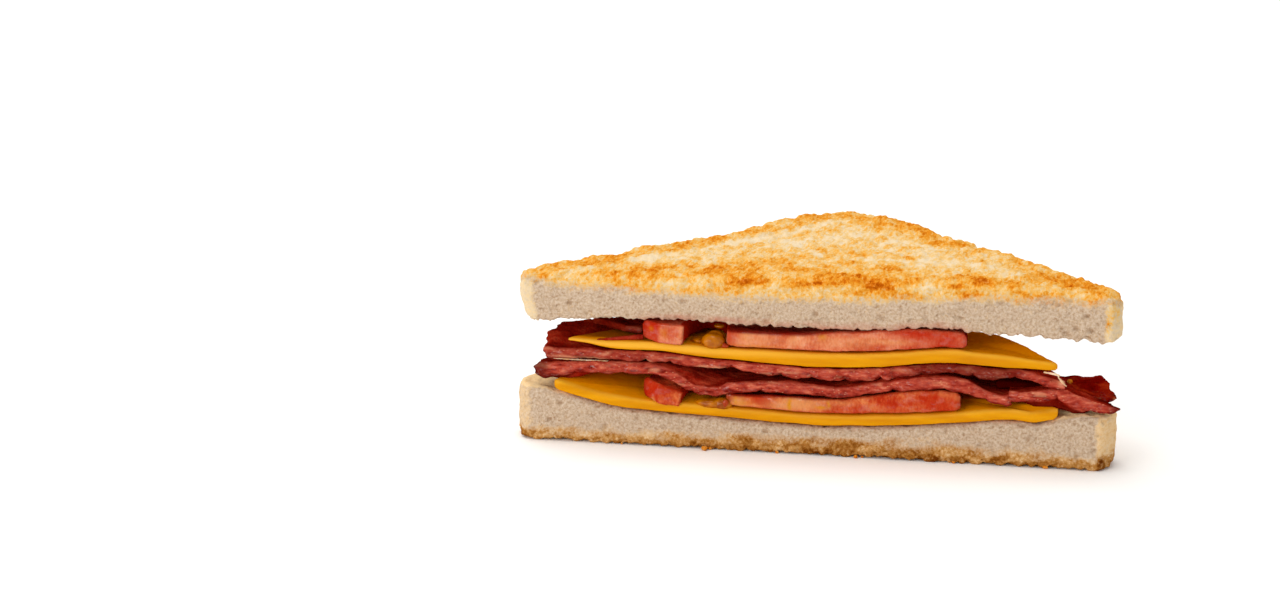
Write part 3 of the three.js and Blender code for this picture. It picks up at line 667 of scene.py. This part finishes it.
def tomato_slice(node, name, middle, radius, tilt, tints, seed, material):
    """A half slice whose chunk leans out by tilt; tints holds the soft spots of each colour."""
    piece = even_copy(node, name, TOMATO_GRID)
    points, normals = read_points(piece)
    x, y, z = points.T
    outward = np.hypot(x - middle, y) - radius
    at_cut = ease(y, 4, 1)
    lift = 0.2 * rough(points, (3.5, 3.5, 2.5), seed) + 0.1 * rough(points, 1.1, seed + 1)
    points = points + normals * lift[:, None]
    in_chunk = ease(x, CHUNK_END + 0.6, CHUNK_END)
    points[:, 1] += (0.6 * np.maximum(CHUNK_EDGE - x, 0) - 0.9) * at_cut * in_chunk
    sunk = ease(x, CHUNK_EDGE - 4, CHUNK_EDGE + 2) * in_chunk * at_cut
    points[:, 2] -= tilt * sunk
    chamber_wall = CHAMBER["x"] + CHAMBER["half"]
    main_end = ease(x, chamber_wall + 3.4, chamber_wall) * (1 - in_chunk) * at_cut
    points[:, 1] += main_end * (0.8 + 0.8 * rough(points, (1.6, 2, 1.6), seed + 7))
    right_side = in_chunk * at_cut * ease(x, CHUNK_EDGE + 1, CHUNK_EDGE + 5)
    points[:, 0] -= tilt * ease(z, z.mean() + 3, z.mean() - 3) * right_side
    write_points(piece, points)
    facing_out = ease(-normals[:, 1], 0.4, 0.8) * ease(y, 4, 2)
    across = np.abs(x - CHAMBER["x"]) / CHAMBER["half"]
    wall = ease(np.hypot(across, y / CHAMBER["depth"]), 1.25, 1.1) * ease(y, 0.5, 1.5)
    broad = (1 - facing_out) * 0.6 * ease(np.abs(normals[:, 2]), 0.4, 0.8)
    turned = in_chunk * ease(x, CHUNK_EDGE + 0.6, CHUNK_EDGE - 0.6)
    red = np.maximum(np.maximum(turned * 0.85, 1.2 * wall), broad)
    # painted shade: the dark red of the peel also darkens the seed chamber's walls and, left of the middle,
    # the top near the cut under the layer above
    top_edge = ease(normals[:, 2], 0.3, 0.8) * ease(x, -24, -20) * ease(x, 6, -2) * ease(y, 8, 4)
    skin_and_shade = np.maximum(ease(outward, -1.4, -0.4) * (1 - 0.6 * facing_out), 0.35 * wall)
    paint(piece, "skin_and_shade", np.maximum(skin_and_shade, 0.8 * top_edge))
    paint(piece, "broad", 1 - facing_out)
    paint(piece, "red", red + facing_out * marks(x, z, tints["red"]))
    paint(piece, "pale", facing_out * marks(x + 0.4 * rough(points, 2, seed + 3), z, tints["pale"]))
    paint(piece, "gold", facing_out * marks(x + 0.4 * rough(points, 1.5, seed + 5), z, tints["gold"]))
    piece.data.materials.append(material)
    return piece


UPPER_TINTS = {  # each spot is x, z, radius both ways and strength
    "red": (
        (-20.3, 29, 2.4, 3, 0.9), (34, 30.5, 12, 4, 0.75), (25, 33, 7, 1.2, 0.6), (-10, 31.5, 12, 0.7, 0.7),
        (-36, 31.8, 3, 0.8, 0.5), (10, 31.4, 2, 0.8, 0.4), (16, 28.8, 5, 0.8, 0.35), (-34, 29.6, 3, 3, 0.3),
    ),
    "pale": (
        (-12, 29, 8, 1.6, 0.4), (8, 29.5, 10, 1.8, 0.35), (-32.4, 30, 0.5, 3, 0.3), (-4, 30, 1.2, 2, 0.3),
        (20, 30.4, 6, 0.7, 0.4), (-16, 30.2, 1.5, 1.4, 0.4),
    ),
    "gold": (
        (-36.5, 30.5, 1, 1.4, 0.35), (-14, 27.4, 6, 0.5, 0.5), (3, 30.8, 1, 0.8, 0.5),
        (-40, 30.8, 0.6, 0.6, 0.4),
    ),
}
LOWER_TINTS = {
    "red": (
        (-11.8, 13.6, 2.1, 1.1, 1.8), (32, 15, 9, 4, 0.8), (12, 12, 8, 2, 0.45), (-36, 15, 2, 3, 0.35),
        (-15.5, 14.6, 3, 0.7, 0.6), (20, 14, 3, 2, 0.4),
    ),
    "pale": (
        (-6, 12.6, 6, 1.8, 0.6), (0, 13.5, 5, 1.6, 0.5), (-18, 12.5, 1.8, 2, 0.8),
        (-39.4, 12.4, 0.5, 1, 0.9), (9, 14, 3, 0.8, 0.3),
    ),
    "gold": (
        (-5, 13, 0.5, 2.4, 1), (3, 12.6, 1.4, 0.4, 0.9), (-17, 12.6, 2.4, 1.2, 0.4),
        (4.9, 13.6, 0.4, 1, 0.9), (-18.6, 13.4, 0.4, 1.2, 0.6),
    ),
}


# ---- Bacon ----

RASHER_GRID = 0.4
STRIP_GRID = 0.25
FACE = (
    (0.28, rgb(112, 22, 14)),
    (0.45, rgb(160, 54, 40)),
    (0.6, rgb(184, 78, 58)),
    (0.75, rgb(208, 112, 84)),
)
BROAD = ((0.3, rgb(104, 8, 2)), (0.5, rgb(150, 30, 14)), (0.7, rgb(190, 68, 42)))
CRISP = ((0.3, rgb(80, 0, 0)), (0.5, rgb(126, 10, 2)), (0.7, rgb(172, 52, 18)))
FAT_FLECK = rgb(222, 154, 116)
CRISP_FLECK = rgb(176, 104, 62)
UPPER_FOLDS = (  # x and depth of each fold in the cut face
    (-42, 0.9), (-35, 0.7), (-20, 1.0), (-7, 0.6), (0, 0.8), (9, 0.7), (17, 1.0), (28, 0.6), (40, 1.1),
    (51, 0.6),
)
LOWER_FOLDS = ((-60, 0.5), (-47, 0.5), (-30, 0.6), (-12, 0.7), (3, 0.5), (21, 0.6), (33, 0.4), (44, 0.5))
TAIL_FOLDS = ((60.9, 0.7),)
LOWER_HANG = (  # x, and how far the lower and the upper edge of the cut face hang below the solid's
    (-70, 0.2, -0.2), (-58, 0.3, -0.1), (-46, 0.5, -0.1), (-40, 0.1, -0.2), (-36, 0.5, 0), (-31, 1.0, 0.6),
    (-27, 0.3, -0.1), (-22, 0.6, -0.2), (-16, 0.4, -0.1), (0, 0.5, -0.2), (14, 0.3, -0.2), (20, 0.7, 0.3),
    (30, 0.8, 0.3), (38, 0.7, -0.1), (45, 0.7, 0), (50, 0.4, -0.1),
)
UPPER_HANG = (
    (-68, 0.1, -0.1), (-60, 0.4, 0.2), (-48, 0.5, 0), (-30, 0.3, -0.1), (-8, 0.5, -0.1), (5, 0.6, -0.1),
    (20, 0.4, -0.1), (30, 0.5, 0), (37, 0.5, 0), (44, 0.7, 0), (50, 0.3, -0.1), (60, 0.7, -0.1),
)
TAIL_HANG = ((50, 0.4, -0.1), (76, 0.1, 0))
SCRAP_HANG = ((-58, 0.1, 0), (-43, 0.1, 0))
CRISP_FAT = (
    (74.4, 18.5, 0.5, 0.8, 0.9), (73.4, 20.6, 0.4, 0.5, 0.9), (71.5, 21.6, 0.6, 0.4, 0.8),
    (74.6, 17, 0.4, 0.4, 0.8), (68, 21, 1.4, 0.3, 0.6),
)
FOLD_LEAN = 0.9  # folds slant by this much over the rasher's thickness
UPPER_FAT = (  # x, z, radius both ways and strength
    (-41, 22.1, 1, 0.4, 1), (-27, 21.6, 1.4, 0.4, 1), (-23.5, 21.6, 1.4, 0.4, 0.9),
    (-62, 22.6, 3, 0.3, 0.8), (-55, 22.6, 3, 0.3, 0.8), (59, 24.4, 0.8, 0.5, 1),
    (60.5, 23.4, 0.7, 0.6, 1), (62, 22.4, 0.7, 0.6, 1),
)
CRISP_FAT = (
    (74.4, 18.5, 0.5, 0.8, 0.9), (73.4, 20.6, 0.4, 0.5, 0.9), (71.5, 21.6, 0.6, 0.4, 0.8),
    (74.6, 17, 0.4, 0.4, 0.8), (68, 21, 1.4, 0.3, 0.6),
)
FOLD_LEAN = 0.9  # folds slant by this much over the rasher's thickness, to either side in turn


def hang(points, x, height, at_cut, hanging):
    """Lets the lower and the upper edge of the cut face hang down."""
    where, below, above = np.array(hanging).T
    points[:, 2] -= at_cut * np.interp(x, where, below) * (1 - height)
    points[:, 2] -= at_cut * np.interp(x, where, above) * height
    points[:, 1] -= 0.5 * at_cut * ease(height, 0.6, 0.1) * np.minimum(np.interp(x, where, below), 1)


def fold(points, x, height, at_cut, folds):
    """Draws the cut face back in its folds, and its lower edge up."""
    for number, (middle, depth) in enumerate(folds):
        lean = FOLD_LEAN if number % 2 else -FOLD_LEAN
        away = np.abs(x - middle - lean * (height - 0.5))
        points[:, 1] += 0.9 * depth * np.exp(-away / 0.5) * at_cut * ease(height, 1.1, 0.3)
        points[:, 2] += 0.9 * depth * np.exp(-away / 1.1) * at_cut * ease(height, 0.8, 0.1)


def shape_ends(points, x, behind, middle, at_cut, ends, seed):
    """Swells or thins a rasher's ends, each given as (x, reach, swelling, bluntness), and draws them back."""
    for end, reach, swollen, blunt in ends:
        past = np.clip((np.abs(x) - abs(end) + reach) / reach, 0, 1) * (np.sign(x) == np.sign(end))
        thicker = swollen * 4 * past * (1 - past) - (1 - blunt) * past**3
        points[:, 2] += (points[:, 2] - middle) * thicker * ease(behind, 8, 3)
        points[:, 1] += 1.6 * (at_cut * past) ** 2
        points[:, 0] += past * 1.2 * rough(points, (3, 2, 1.2), seed + 6)


def rasher(
    node, name, grid, folds, hanging, frill, seed, material, char_and_shade, ends=(), fat=(), laps=(), sags=()
):
    """A rasher with lobes between its folds, a torn lower edge and crinkled broad sides; fat holds
    its palest spots. Each of its laps is (x, step, length): there the face comes forward, and sinks
    back beyond. Each of its sags is (x, width, depth): there the underside hangs lower behind the cut."""
    piece = even_copy(node, name, grid)
    points, normals = read_points(piece)
    x, y, z = points.T
    under = front_edge(points, lowest=True)
    over = front_edge(points, lowest=False)
    behind = y - y.min()
    at_cut = ease(behind, 2.5, 0.8)
    facing_out = ease(-normals[:, 1], 0.35, 0.75) * ease(behind, 2, 1)
    height = np.clip((z - under(x)) / np.maximum(over(x) - under(x), 0.5), 0, 1)
    lift = frill * rough(points, (3.5, 4, 3), seed) + 0.1 * rough(points, (1.2, 1.2, 0.8), seed + 1)
    lift *= 1 - 0.3 * at_cut
    points = points + normals * lift[:, None]
    hang(points, x, height, at_cut, hanging)
    bow = np.abs(2 * height - 1) ** 3
    points[:, 1] += at_cut * (0.9 * bow + 0.35 * rough(points, (3.6, 2, 1.8), seed + 3))
    fold(points, x, height, at_cut, folds)
    along = points * [1, 0.3, 0]
    tears = 0.26 * rough(along, 2.2, seed + 2) + 0.14 * rough(along, 0.8, seed + 4)
    points[:, 2] -= at_cut * tears * (ease(height, 0.5, 0.0) - 0.5 * ease(height, 0.6, 1.0))
    shape_ends(points, x, behind, (under(x) + over(x)) / 2, at_cut, ends, seed)
    for start, step, length in laps:
        points[:, 1] -= step * at_cut * ease(x, start - 0.2, start + 0.2) * ease(x, start + length, start)
    for middle, width, depth in sags:
        hidden_underside = ease(behind, 0.8, 2.6) * ease(behind, 18, 12) * ease(-normals[:, 2], 0, 0.5)
        points[:, 2] -= depth * hump(x, middle, width) * hidden_underside
    write_points(piece, points)
    dark = char_and_shade(x, y, z)
    streaks = ease(rough(points, (6, 3, 0.7), seed + 7), 0.35, 0.6) * 0.4
    paint(piece, "height", height)
    paint(piece, "broad", np.maximum(1 - facing_out, ease(dark, 0.85, 1)))
    # painted shade also darkens the lowest part of the cut face
    paint(piece, "char_and_shade", dark + 0.35 * np.exp(-height / 0.12) * facing_out)
    paint(piece, "fat", (streaks + marks(x, z, fat)) * facing_out)
    piece.data.materials.append(material)
    return piece


def close_joint(piece, end, reach, back):
    """Draws a rasher's end out and back, so that it meets the next one."""
    points, _ = read_points(piece)
    drawn = ease(np.abs(points[:, 0] - end), 4, 0.3)
    points[:, 0] += reach * drawn
    points[:, 1] += back * drawn
    write_points(piece, points)


def rashers():
    bacon = bacon_finish("Bacon", FACE, BROAD, FAT_FLECK, 41.0)
    crisp = bacon_finish("Crisp bacon", CRISP, CRISP, CRISP_FLECK, 51.0)

    def dark_left(x, y, z):
        return 0.75 * np.maximum(ease(x, -65, -68), ease(z, 18.4, 17.4) * ease(x, -56, -62))

    # painted shade on the right part, which lies under the cheese; a little darker towards the left end too
    def dark_ends(x, y, z):
        return np.maximum(0.6 * ease(x, 20, 30) * ease(x, 56, 48), 0.22 * ease(x, -30, -42))

    # char at the tail's tip, and painted shade on its lower part behind the cut face, under its fold
    def dark_tip(x, y, z):
        return 0.6 * ease(x, 72.5, 75.5) + 0.8 * ease(y, 0.8, 1.6) * ease(z, 18.4, 17.4)

    # painted shade on the left part, which lies in the gap between the layers
    def dark_inside(x, y, z):
        return ease(x, 62, 58)

    # painted shade over the whole scrap, which lies deep in the gap under the upper slice
    def half_dark(x, y, z):
        return 0.45 + 0 * x

    return (
        rasher(
            "lower_bacon", "lower_rasher", RASHER_GRID, LOWER_FOLDS, LOWER_HANG, 0.35, 61.0, bacon, dark_left,
            ends=((-70, 4, 0.3, 0.75), (50, 2, 0.2, 0.75)), sags=((-60, 6, 1.8),),
        ),
        rasher(
            "upper_bacon", "upper_rasher", RASHER_GRID, UPPER_FOLDS, UPPER_HANG, 0.4, 71.0, bacon, dark_ends,
            ends=((-68, 3, 0.2, 0.6),), laps=((20, -1.0, 38),), fat=UPPER_FAT,
        ),
        rasher(
            "tail_bacon", "tail_rasher", STRIP_GRID, TAIL_FOLDS, TAIL_HANG, 0.15, 81.0, bacon, dark_tip,
            ends=((76.5, 4, 0, 0.3),), laps=((61.2, 0.8, 9),), sags=((59.5, 5.5, 3.4),),
        ),
        rasher(
            "crisp_bacon", "crisp_rasher", STRIP_GRID, (), TAIL_HANG, 0.7, 91.0, crisp, dark_inside,
            ends=((75, 4, 0, 0.6),), fat=CRISP_FAT,
        ),
        rasher("scrap_bacon", "bacon_scrap", STRIP_GRID, (), SCRAP_HANG, 0.3, 95.0, bacon, half_dark),
    )


# ---- Gel, seeds and scraps ----

GEL = (  # lumps in the two seed chambers: their middles and radii
    ((-24.6, 1.6, 27.9), (3.0, 2.2, 2.1)), ((-24.3, 3.2, 28.3), (2.4, 2.0, 2.0)),
    ((-27.6, 4.4, 27.4), (3.0, 2.5, 0.8)), ((-23.6, 5.0, 31.0), (1.4, 1.2, 0.6)),
    ((-24.6, 2.0, 11.8), (4.6, 2.4, 1.4)), ((-22.0, 1.3, 11.9), (2.6, 1.7, 1.6)),
)
SEEDS = (  # their middles and how far they lean
    ((-21.8, 1.2, 27.0), 0.2), ((-21.2, 0.1, 12.3), -1.1),
)
SEED_SIZE = (1.3, 0.5, 0.8)
CRUMBS = (  # x, y and size of the loose crumbs on the table
    (-26.2, -0.6, 0.8), (-24.9, 0.2, 0.5), (-47.5, 0.3, 0.4), (11.6, 0.1, 0.6), (13.4, 0.5, 0.5),
    (36.3, 0.2, 0.5), (58.8, 0.3, 0.6), (-8.1, 0.4, 0.5),
)
CRUMB_ON_BACON = (63.6, 8.0, 0.7)
SLIVER_PATH = (  # x, y and half the width and height of the thin strip along the upper cheese's edge
    (-54.0, 0.9, 0.25, 0.15), (-51.0, 1.3, 0.45, 0.35), (-48.2, 1.8, 0.6, 0.5), (-45.6, 2.5, 0.7, 0.65),
    (-42.6, 3.4, 0.8, 0.85),
)
FAT_STRANDS = (  # each is x, y, z, half its depth and half its height along the strand
    (
        (57.6, 0.6, 24.6, 0.2, 0.15), (59.0, 0.3, 24.5, 0.3, 0.3), (60.4, 0.2, 24.3, 0.3, 0.35),
        (61.6, 0.3, 24.0, 0.2, 0.2),
    ),
    (
        (61.1, 0.1, 23.7, 0.2, 0.15), (61.9, -0.2, 22.8, 0.3, 0.45), (62.6, -0.2, 22.1, 0.3, 0.4),
        (63.3, 0.1, 21.4, 0.2, 0.15),
    ),
    (
        (-66.2, 1.2, 21.5, 0.3, 0.08), (-62.0, 0.6, 21.6, 0.5, 0.16), (-57.0, 0.5, 21.6, 0.5, 0.14),
        (-51.0, 0.8, 21.6, 0.4, 0.06),
    ),
)
GEL_SHADES = rgb(140, 62, 0), rgb(188, 110, 0)
SEED_SHADES = rgb(140, 30, 0), rgb(176, 66, 4)
FAT_SHADES = rgb(206, 150, 104), rgb(240, 212, 180)
STRAND_SIDES = 10
UPRIGHT = Matrix(((0, 0, 1, 0), (1, 0, 0, 0), (0, 1, 0, 0), (0, 0, 0, 1)))  # turns a ring to face along x


def lump(shape, middle, radii, lean=0.0, subdivisions=3):
    """Adds an egg; its middle and radii are in mm."""
    made = bmesh.ops.create_icosphere(shape, subdivisions=subdivisions, radius=1)["verts"]
    size = Matrix.Diagonal([radius * MM for radius in radii] + [1])
    turned = Matrix.Translation(at(*middle)) @ Matrix.Rotation(lean, 4, "Y") @ size
    bmesh.ops.transform(shape, matrix=turned, verts=made)
    return made


def strand(shape, stations):
    """Adds a thin strip: a ring that is drawn out from station to station."""
    ring = bmesh.ops.create_circle(shape, cap_ends=True, segments=STRAND_SIDES, radius=1)["verts"]
    cap = ring[0].link_faces[0]
    before = Matrix.Identity(4)
    for number, (x, y, z, depth, height) in enumerate(stations):
        back = stations[max(number - 1, 0)]
        ahead = stations[min(number + 1, len(stations) - 1)]
        heading = Matrix.Rotation(math.atan2(ahead[1] - back[1], ahead[0] - back[0]), 4, "Z")
        size = Matrix.Diagonal((depth * MM, height * MM, MM, 1))
        place = Matrix.Translation(at(x, y, z)) @ heading @ UPRIGHT @ size
        if number > 0:
            drawn = bmesh.ops.extrude_face_region(shape, geom=[cap])["geom"]
            ring = [part for part in drawn if isinstance(part, bmesh.types.BMVert)]
            cap = next(part for part in drawn if isinstance(part, bmesh.types.BMFace))
        bmesh.ops.transform(shape, matrix=place @ before.inverted(), verts=ring)
        before = place


def small_piece(name, shape, material, uneven, seed, grid=None):
    """Makes a piece of a shape, uneven by so many mm; with a grid its parts melt into one surface."""
    bmesh.ops.recalc_face_normals(shape, faces=shape.faces)
    mesh = bpy.data.meshes.new(name)
    shape.to_mesh(mesh)
    shape.free()
    piece = new_piece(name, mesh)
    if grid:
        even_faces(piece, grid)
    piece.data.shade_smooth()
    points, normals = read_points(piece)
    write_points(piece, points + normals * (uneven * rough(points, 0.9, seed))[:, None])
    piece.data.materials.append(material)
    return piece


def height_on(piece, x, y):
    """The height in mm of a piece's upper surface at a place."""
    found, place, _, _ = piece.ray_cast(at(x, y, 60), Vector((0, 0, -1)))
    return (place.z - CUT_MIDDLE.z) / MM if found else 0.0


def wet_finish(name, dark, light, seed):
    """Something small, wet and slightly see-through."""
    finish = Finish(name, Roughness=0.4, Specular_IOR_Level=0.0, Coat_Weight=0.4, Coat_Roughness=0.04)
    finish.set(Subsurface_Weight=0.15, Subsurface_Radius=(0.002, 0.001, 0.0003), Subsurface_Scale=0.8)
    finish.colour(finish.ramp(finish.grain(2.5, seed, detail=3), (0.35, dark), (0.65, light)))
    return finish.material


def tomato_gel():
    shape = bmesh.new()
    for middle, radii in GEL:
        lump(shape, middle, radii)
    gel = wet_finish("Seed gel", *GEL_SHADES, 101.0)
    return small_piece("tomato_gel", shape, gel, 0.06, 102.0, 0.25)


def tomato_seeds():
    shape = bmesh.new()
    for middle, lean in SEEDS:
        for vert in lump(shape, middle, SEED_SIZE, lean):
            beyond = (vert.co.x - at(*middle).x) / (SEED_SIZE[0] * MM)
            vert.co.z = at(*middle).z + (vert.co.z - at(*middle).z) * (1 - 0.4 * max(beyond, 0))
    seed = wet_finish("Tomato seed", *SEED_SHADES, 103.0)
    return small_piece("tomato_seeds", shape, seed, 0.06, 104.0)


def crumbs(crisp_rasher):
    shape = bmesh.new()
    for x, y, size in CRUMBS:
        lump(shape, (x, y, size * 0.7), (size, size * 0.9, size * 0.8), subdivisions=2)
    x, y, size = CRUMB_ON_BACON
    on_bacon = (x, y, height_on(crisp_rasher, x, y) + size * 0.5)
    lump(shape, on_bacon, (size, size, size * 0.7), subdivisions=2)
    piece = small_piece("toast_crumbs", shape, bpy.data.materials["Toasted top"], 0.35, 105.0)
    count = len(piece.data.vertices)
    paint(piece, "toast_and_light", np.full(count, 0.9))
    paint(piece, "browned", np.full(count, 0.7))
    return piece


def bacon_sliver(cheese_below):
    shape = bmesh.new()
    strand(shape, [
        (x, y, height_on(cheese_below, x, y) + high * 0.8, wide, high) for x, y, wide, high in SLIVER_PATH
    ])
    piece = small_piece("bacon_sliver", shape, bpy.data.materials["Bacon"], 0.15, 106.0, 0.15)
    paint(piece, "broad", np.full(len(piece.data.vertices), 0.8))
    return piece


def bacon_fat():
    shape = bmesh.new()
    for stations in FAT_STRANDS:
        strand(shape, stations)
    fat = wet_finish("Bacon fat", *FAT_SHADES, 107.0)
    return small_piece("bacon_fat", shape, fat, 0.1, 108.0, 0.12)


# ---- Camera, lights and floor ----

CAMERA_AIM = at(-42.83, 0, 37.99)
CAMERA_DISTANCE = 0.7968
CAMERA_TURN = math.radians(10.904)
CAMERA_RISE = math.radians(14.729)
CAMERA_LENS = 90
FLOOR_HALF = 2


def add_camera():
    data = bpy.data.cameras.new("Camera")
    data.lens = CAMERA_LENS
    data.sensor_width = 36
    data.clip_start = 0.01
    data.clip_end = 50
    camera = bpy.data.objects.new("Camera", data)
    bpy.context.scene.collection.objects.link(camera)
    level = math.cos(CAMERA_RISE)
    away = Vector((math.sin(CAMERA_TURN) * level, -math.cos(CAMERA_TURN) * level, math.sin(CAMERA_RISE)))
    camera.location = CAMERA_AIM + away * CAMERA_DISTANCE
    camera.rotation_euler = away.to_track_quat("Z", "Y").to_euler()
    bpy.context.scene.camera = camera


def add_light(name, place, size, power, colour):
    data = bpy.data.lights.new(name, "AREA")
    data.shape = "RECTANGLE"
    data.size, data.size_y = size
    data.energy = power
    data.color = colour
    light = bpy.data.objects.new(name, data)
    light.location = place
    light.rotation_euler = Vector(place).to_track_quat("Z", "Y").to_euler()
    bpy.context.scene.collection.objects.link(light)


def add_studio():
    world = bpy.data.worlds.new("Studio")
    world.use_nodes = True
    background = world.node_tree.nodes["Background"]
    background.inputs["Color"].default_value = (1, 1, 1, 1)
    background.inputs["Strength"].default_value = 0.7
    bpy.context.scene.world = world
    bpy.context.scene.view_settings.view_transform = "Standard"
    add_light("Overhead", place=(-0.5, 0.3, 2.0), size=(1.6, 1.6), power=25, colour=(1, 0.99, 0.97))
    add_light("Front", place=(-0.5, -0.8, 0.32), size=(0.6, 0.4), power=3.2, colour=(1, 0.98, 0.94))

    floor_mesh = bmesh.new()
    bmesh.ops.create_grid(floor_mesh, x_segments=1, y_segments=1, size=FLOOR_HALF)
    mesh = bpy.data.meshes.new("Floor")
    floor_mesh.to_mesh(mesh)
    floor_mesh.free()
    floor = new_piece("Floor", mesh)
    finish = Finish("Pale floor", Roughness=0.9)
    finish.colour(finish.ramp(finish.grain(40), (0.3, rgb(251, 249, 247)), (0.7, rgb(253, 252, 250))))
    mesh.materials.append(finish.material)


# ---- The sandwich ----


def add_layer(piece, node):
    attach(piece, "root")
    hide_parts(node)


def add_extra(piece):
    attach(piece, "root")


add_camera()
add_studio()
add_layer(lower_slice(), "bottom_toast")
add_layer(upper_slice(), "top_toast")
cheese = cheese_finish()
lower_cheese = cheese_slice("lower_cheese", "lower_cheese_slice", 15.0, cheese, tip=1, shaded=0)
upper_cheese = cheese_slice("upper_cheese", "upper_cheese_slice", 16.0, cheese, tip=0.45, shaded=0.85)
add_layer(lower_cheese, "lower_cheese")
add_layer(upper_cheese, "upper_cheese")
red_tomato = tomato_finish("Red tomato", RED_FLESH, 18.0)
pink_tomato = tomato_finish("Pink tomato", PINK_FLESH, 20.0)
lower_tomato = tomato_slice(
    "lower_tomato", "lower_tomato_slice", -2.4, 39.9, 1.2, LOWER_TINTS, 17.0, red_tomato
)
upper_tomato = tomato_slice(
    "upper_tomato", "upper_tomato_slice", -1.9, 40.6, 0.6, UPPER_TINTS, 19.0, pink_tomato
)
add_layer(lower_tomato, "lower_tomato")
add_layer(upper_tomato, "upper_tomato")
lower_rasher, upper_rasher, tail_rasher, crisp_rasher, bacon_scrap = rashers()
close_joint(lower_rasher, 50, reach=0.4, back=-0.6)
close_joint(tail_rasher, 50.5, reach=-1.3, back=0.7)
add_layer(lower_rasher, "lower_bacon")
add_layer(upper_rasher, "upper_bacon")
add_layer(tail_rasher, "tail_bacon")
add_layer(crisp_rasher, "crisp_bacon")
add_layer(bacon_scrap, "scrap_bacon")
bpy.context.view_layer.update()
add_extra(tomato_gel())
add_extra(tomato_seeds())
add_extra(crumbs(crisp_rasher))
add_extra(bacon_sliver(upper_cheese))
add_extra(bacon_fat())
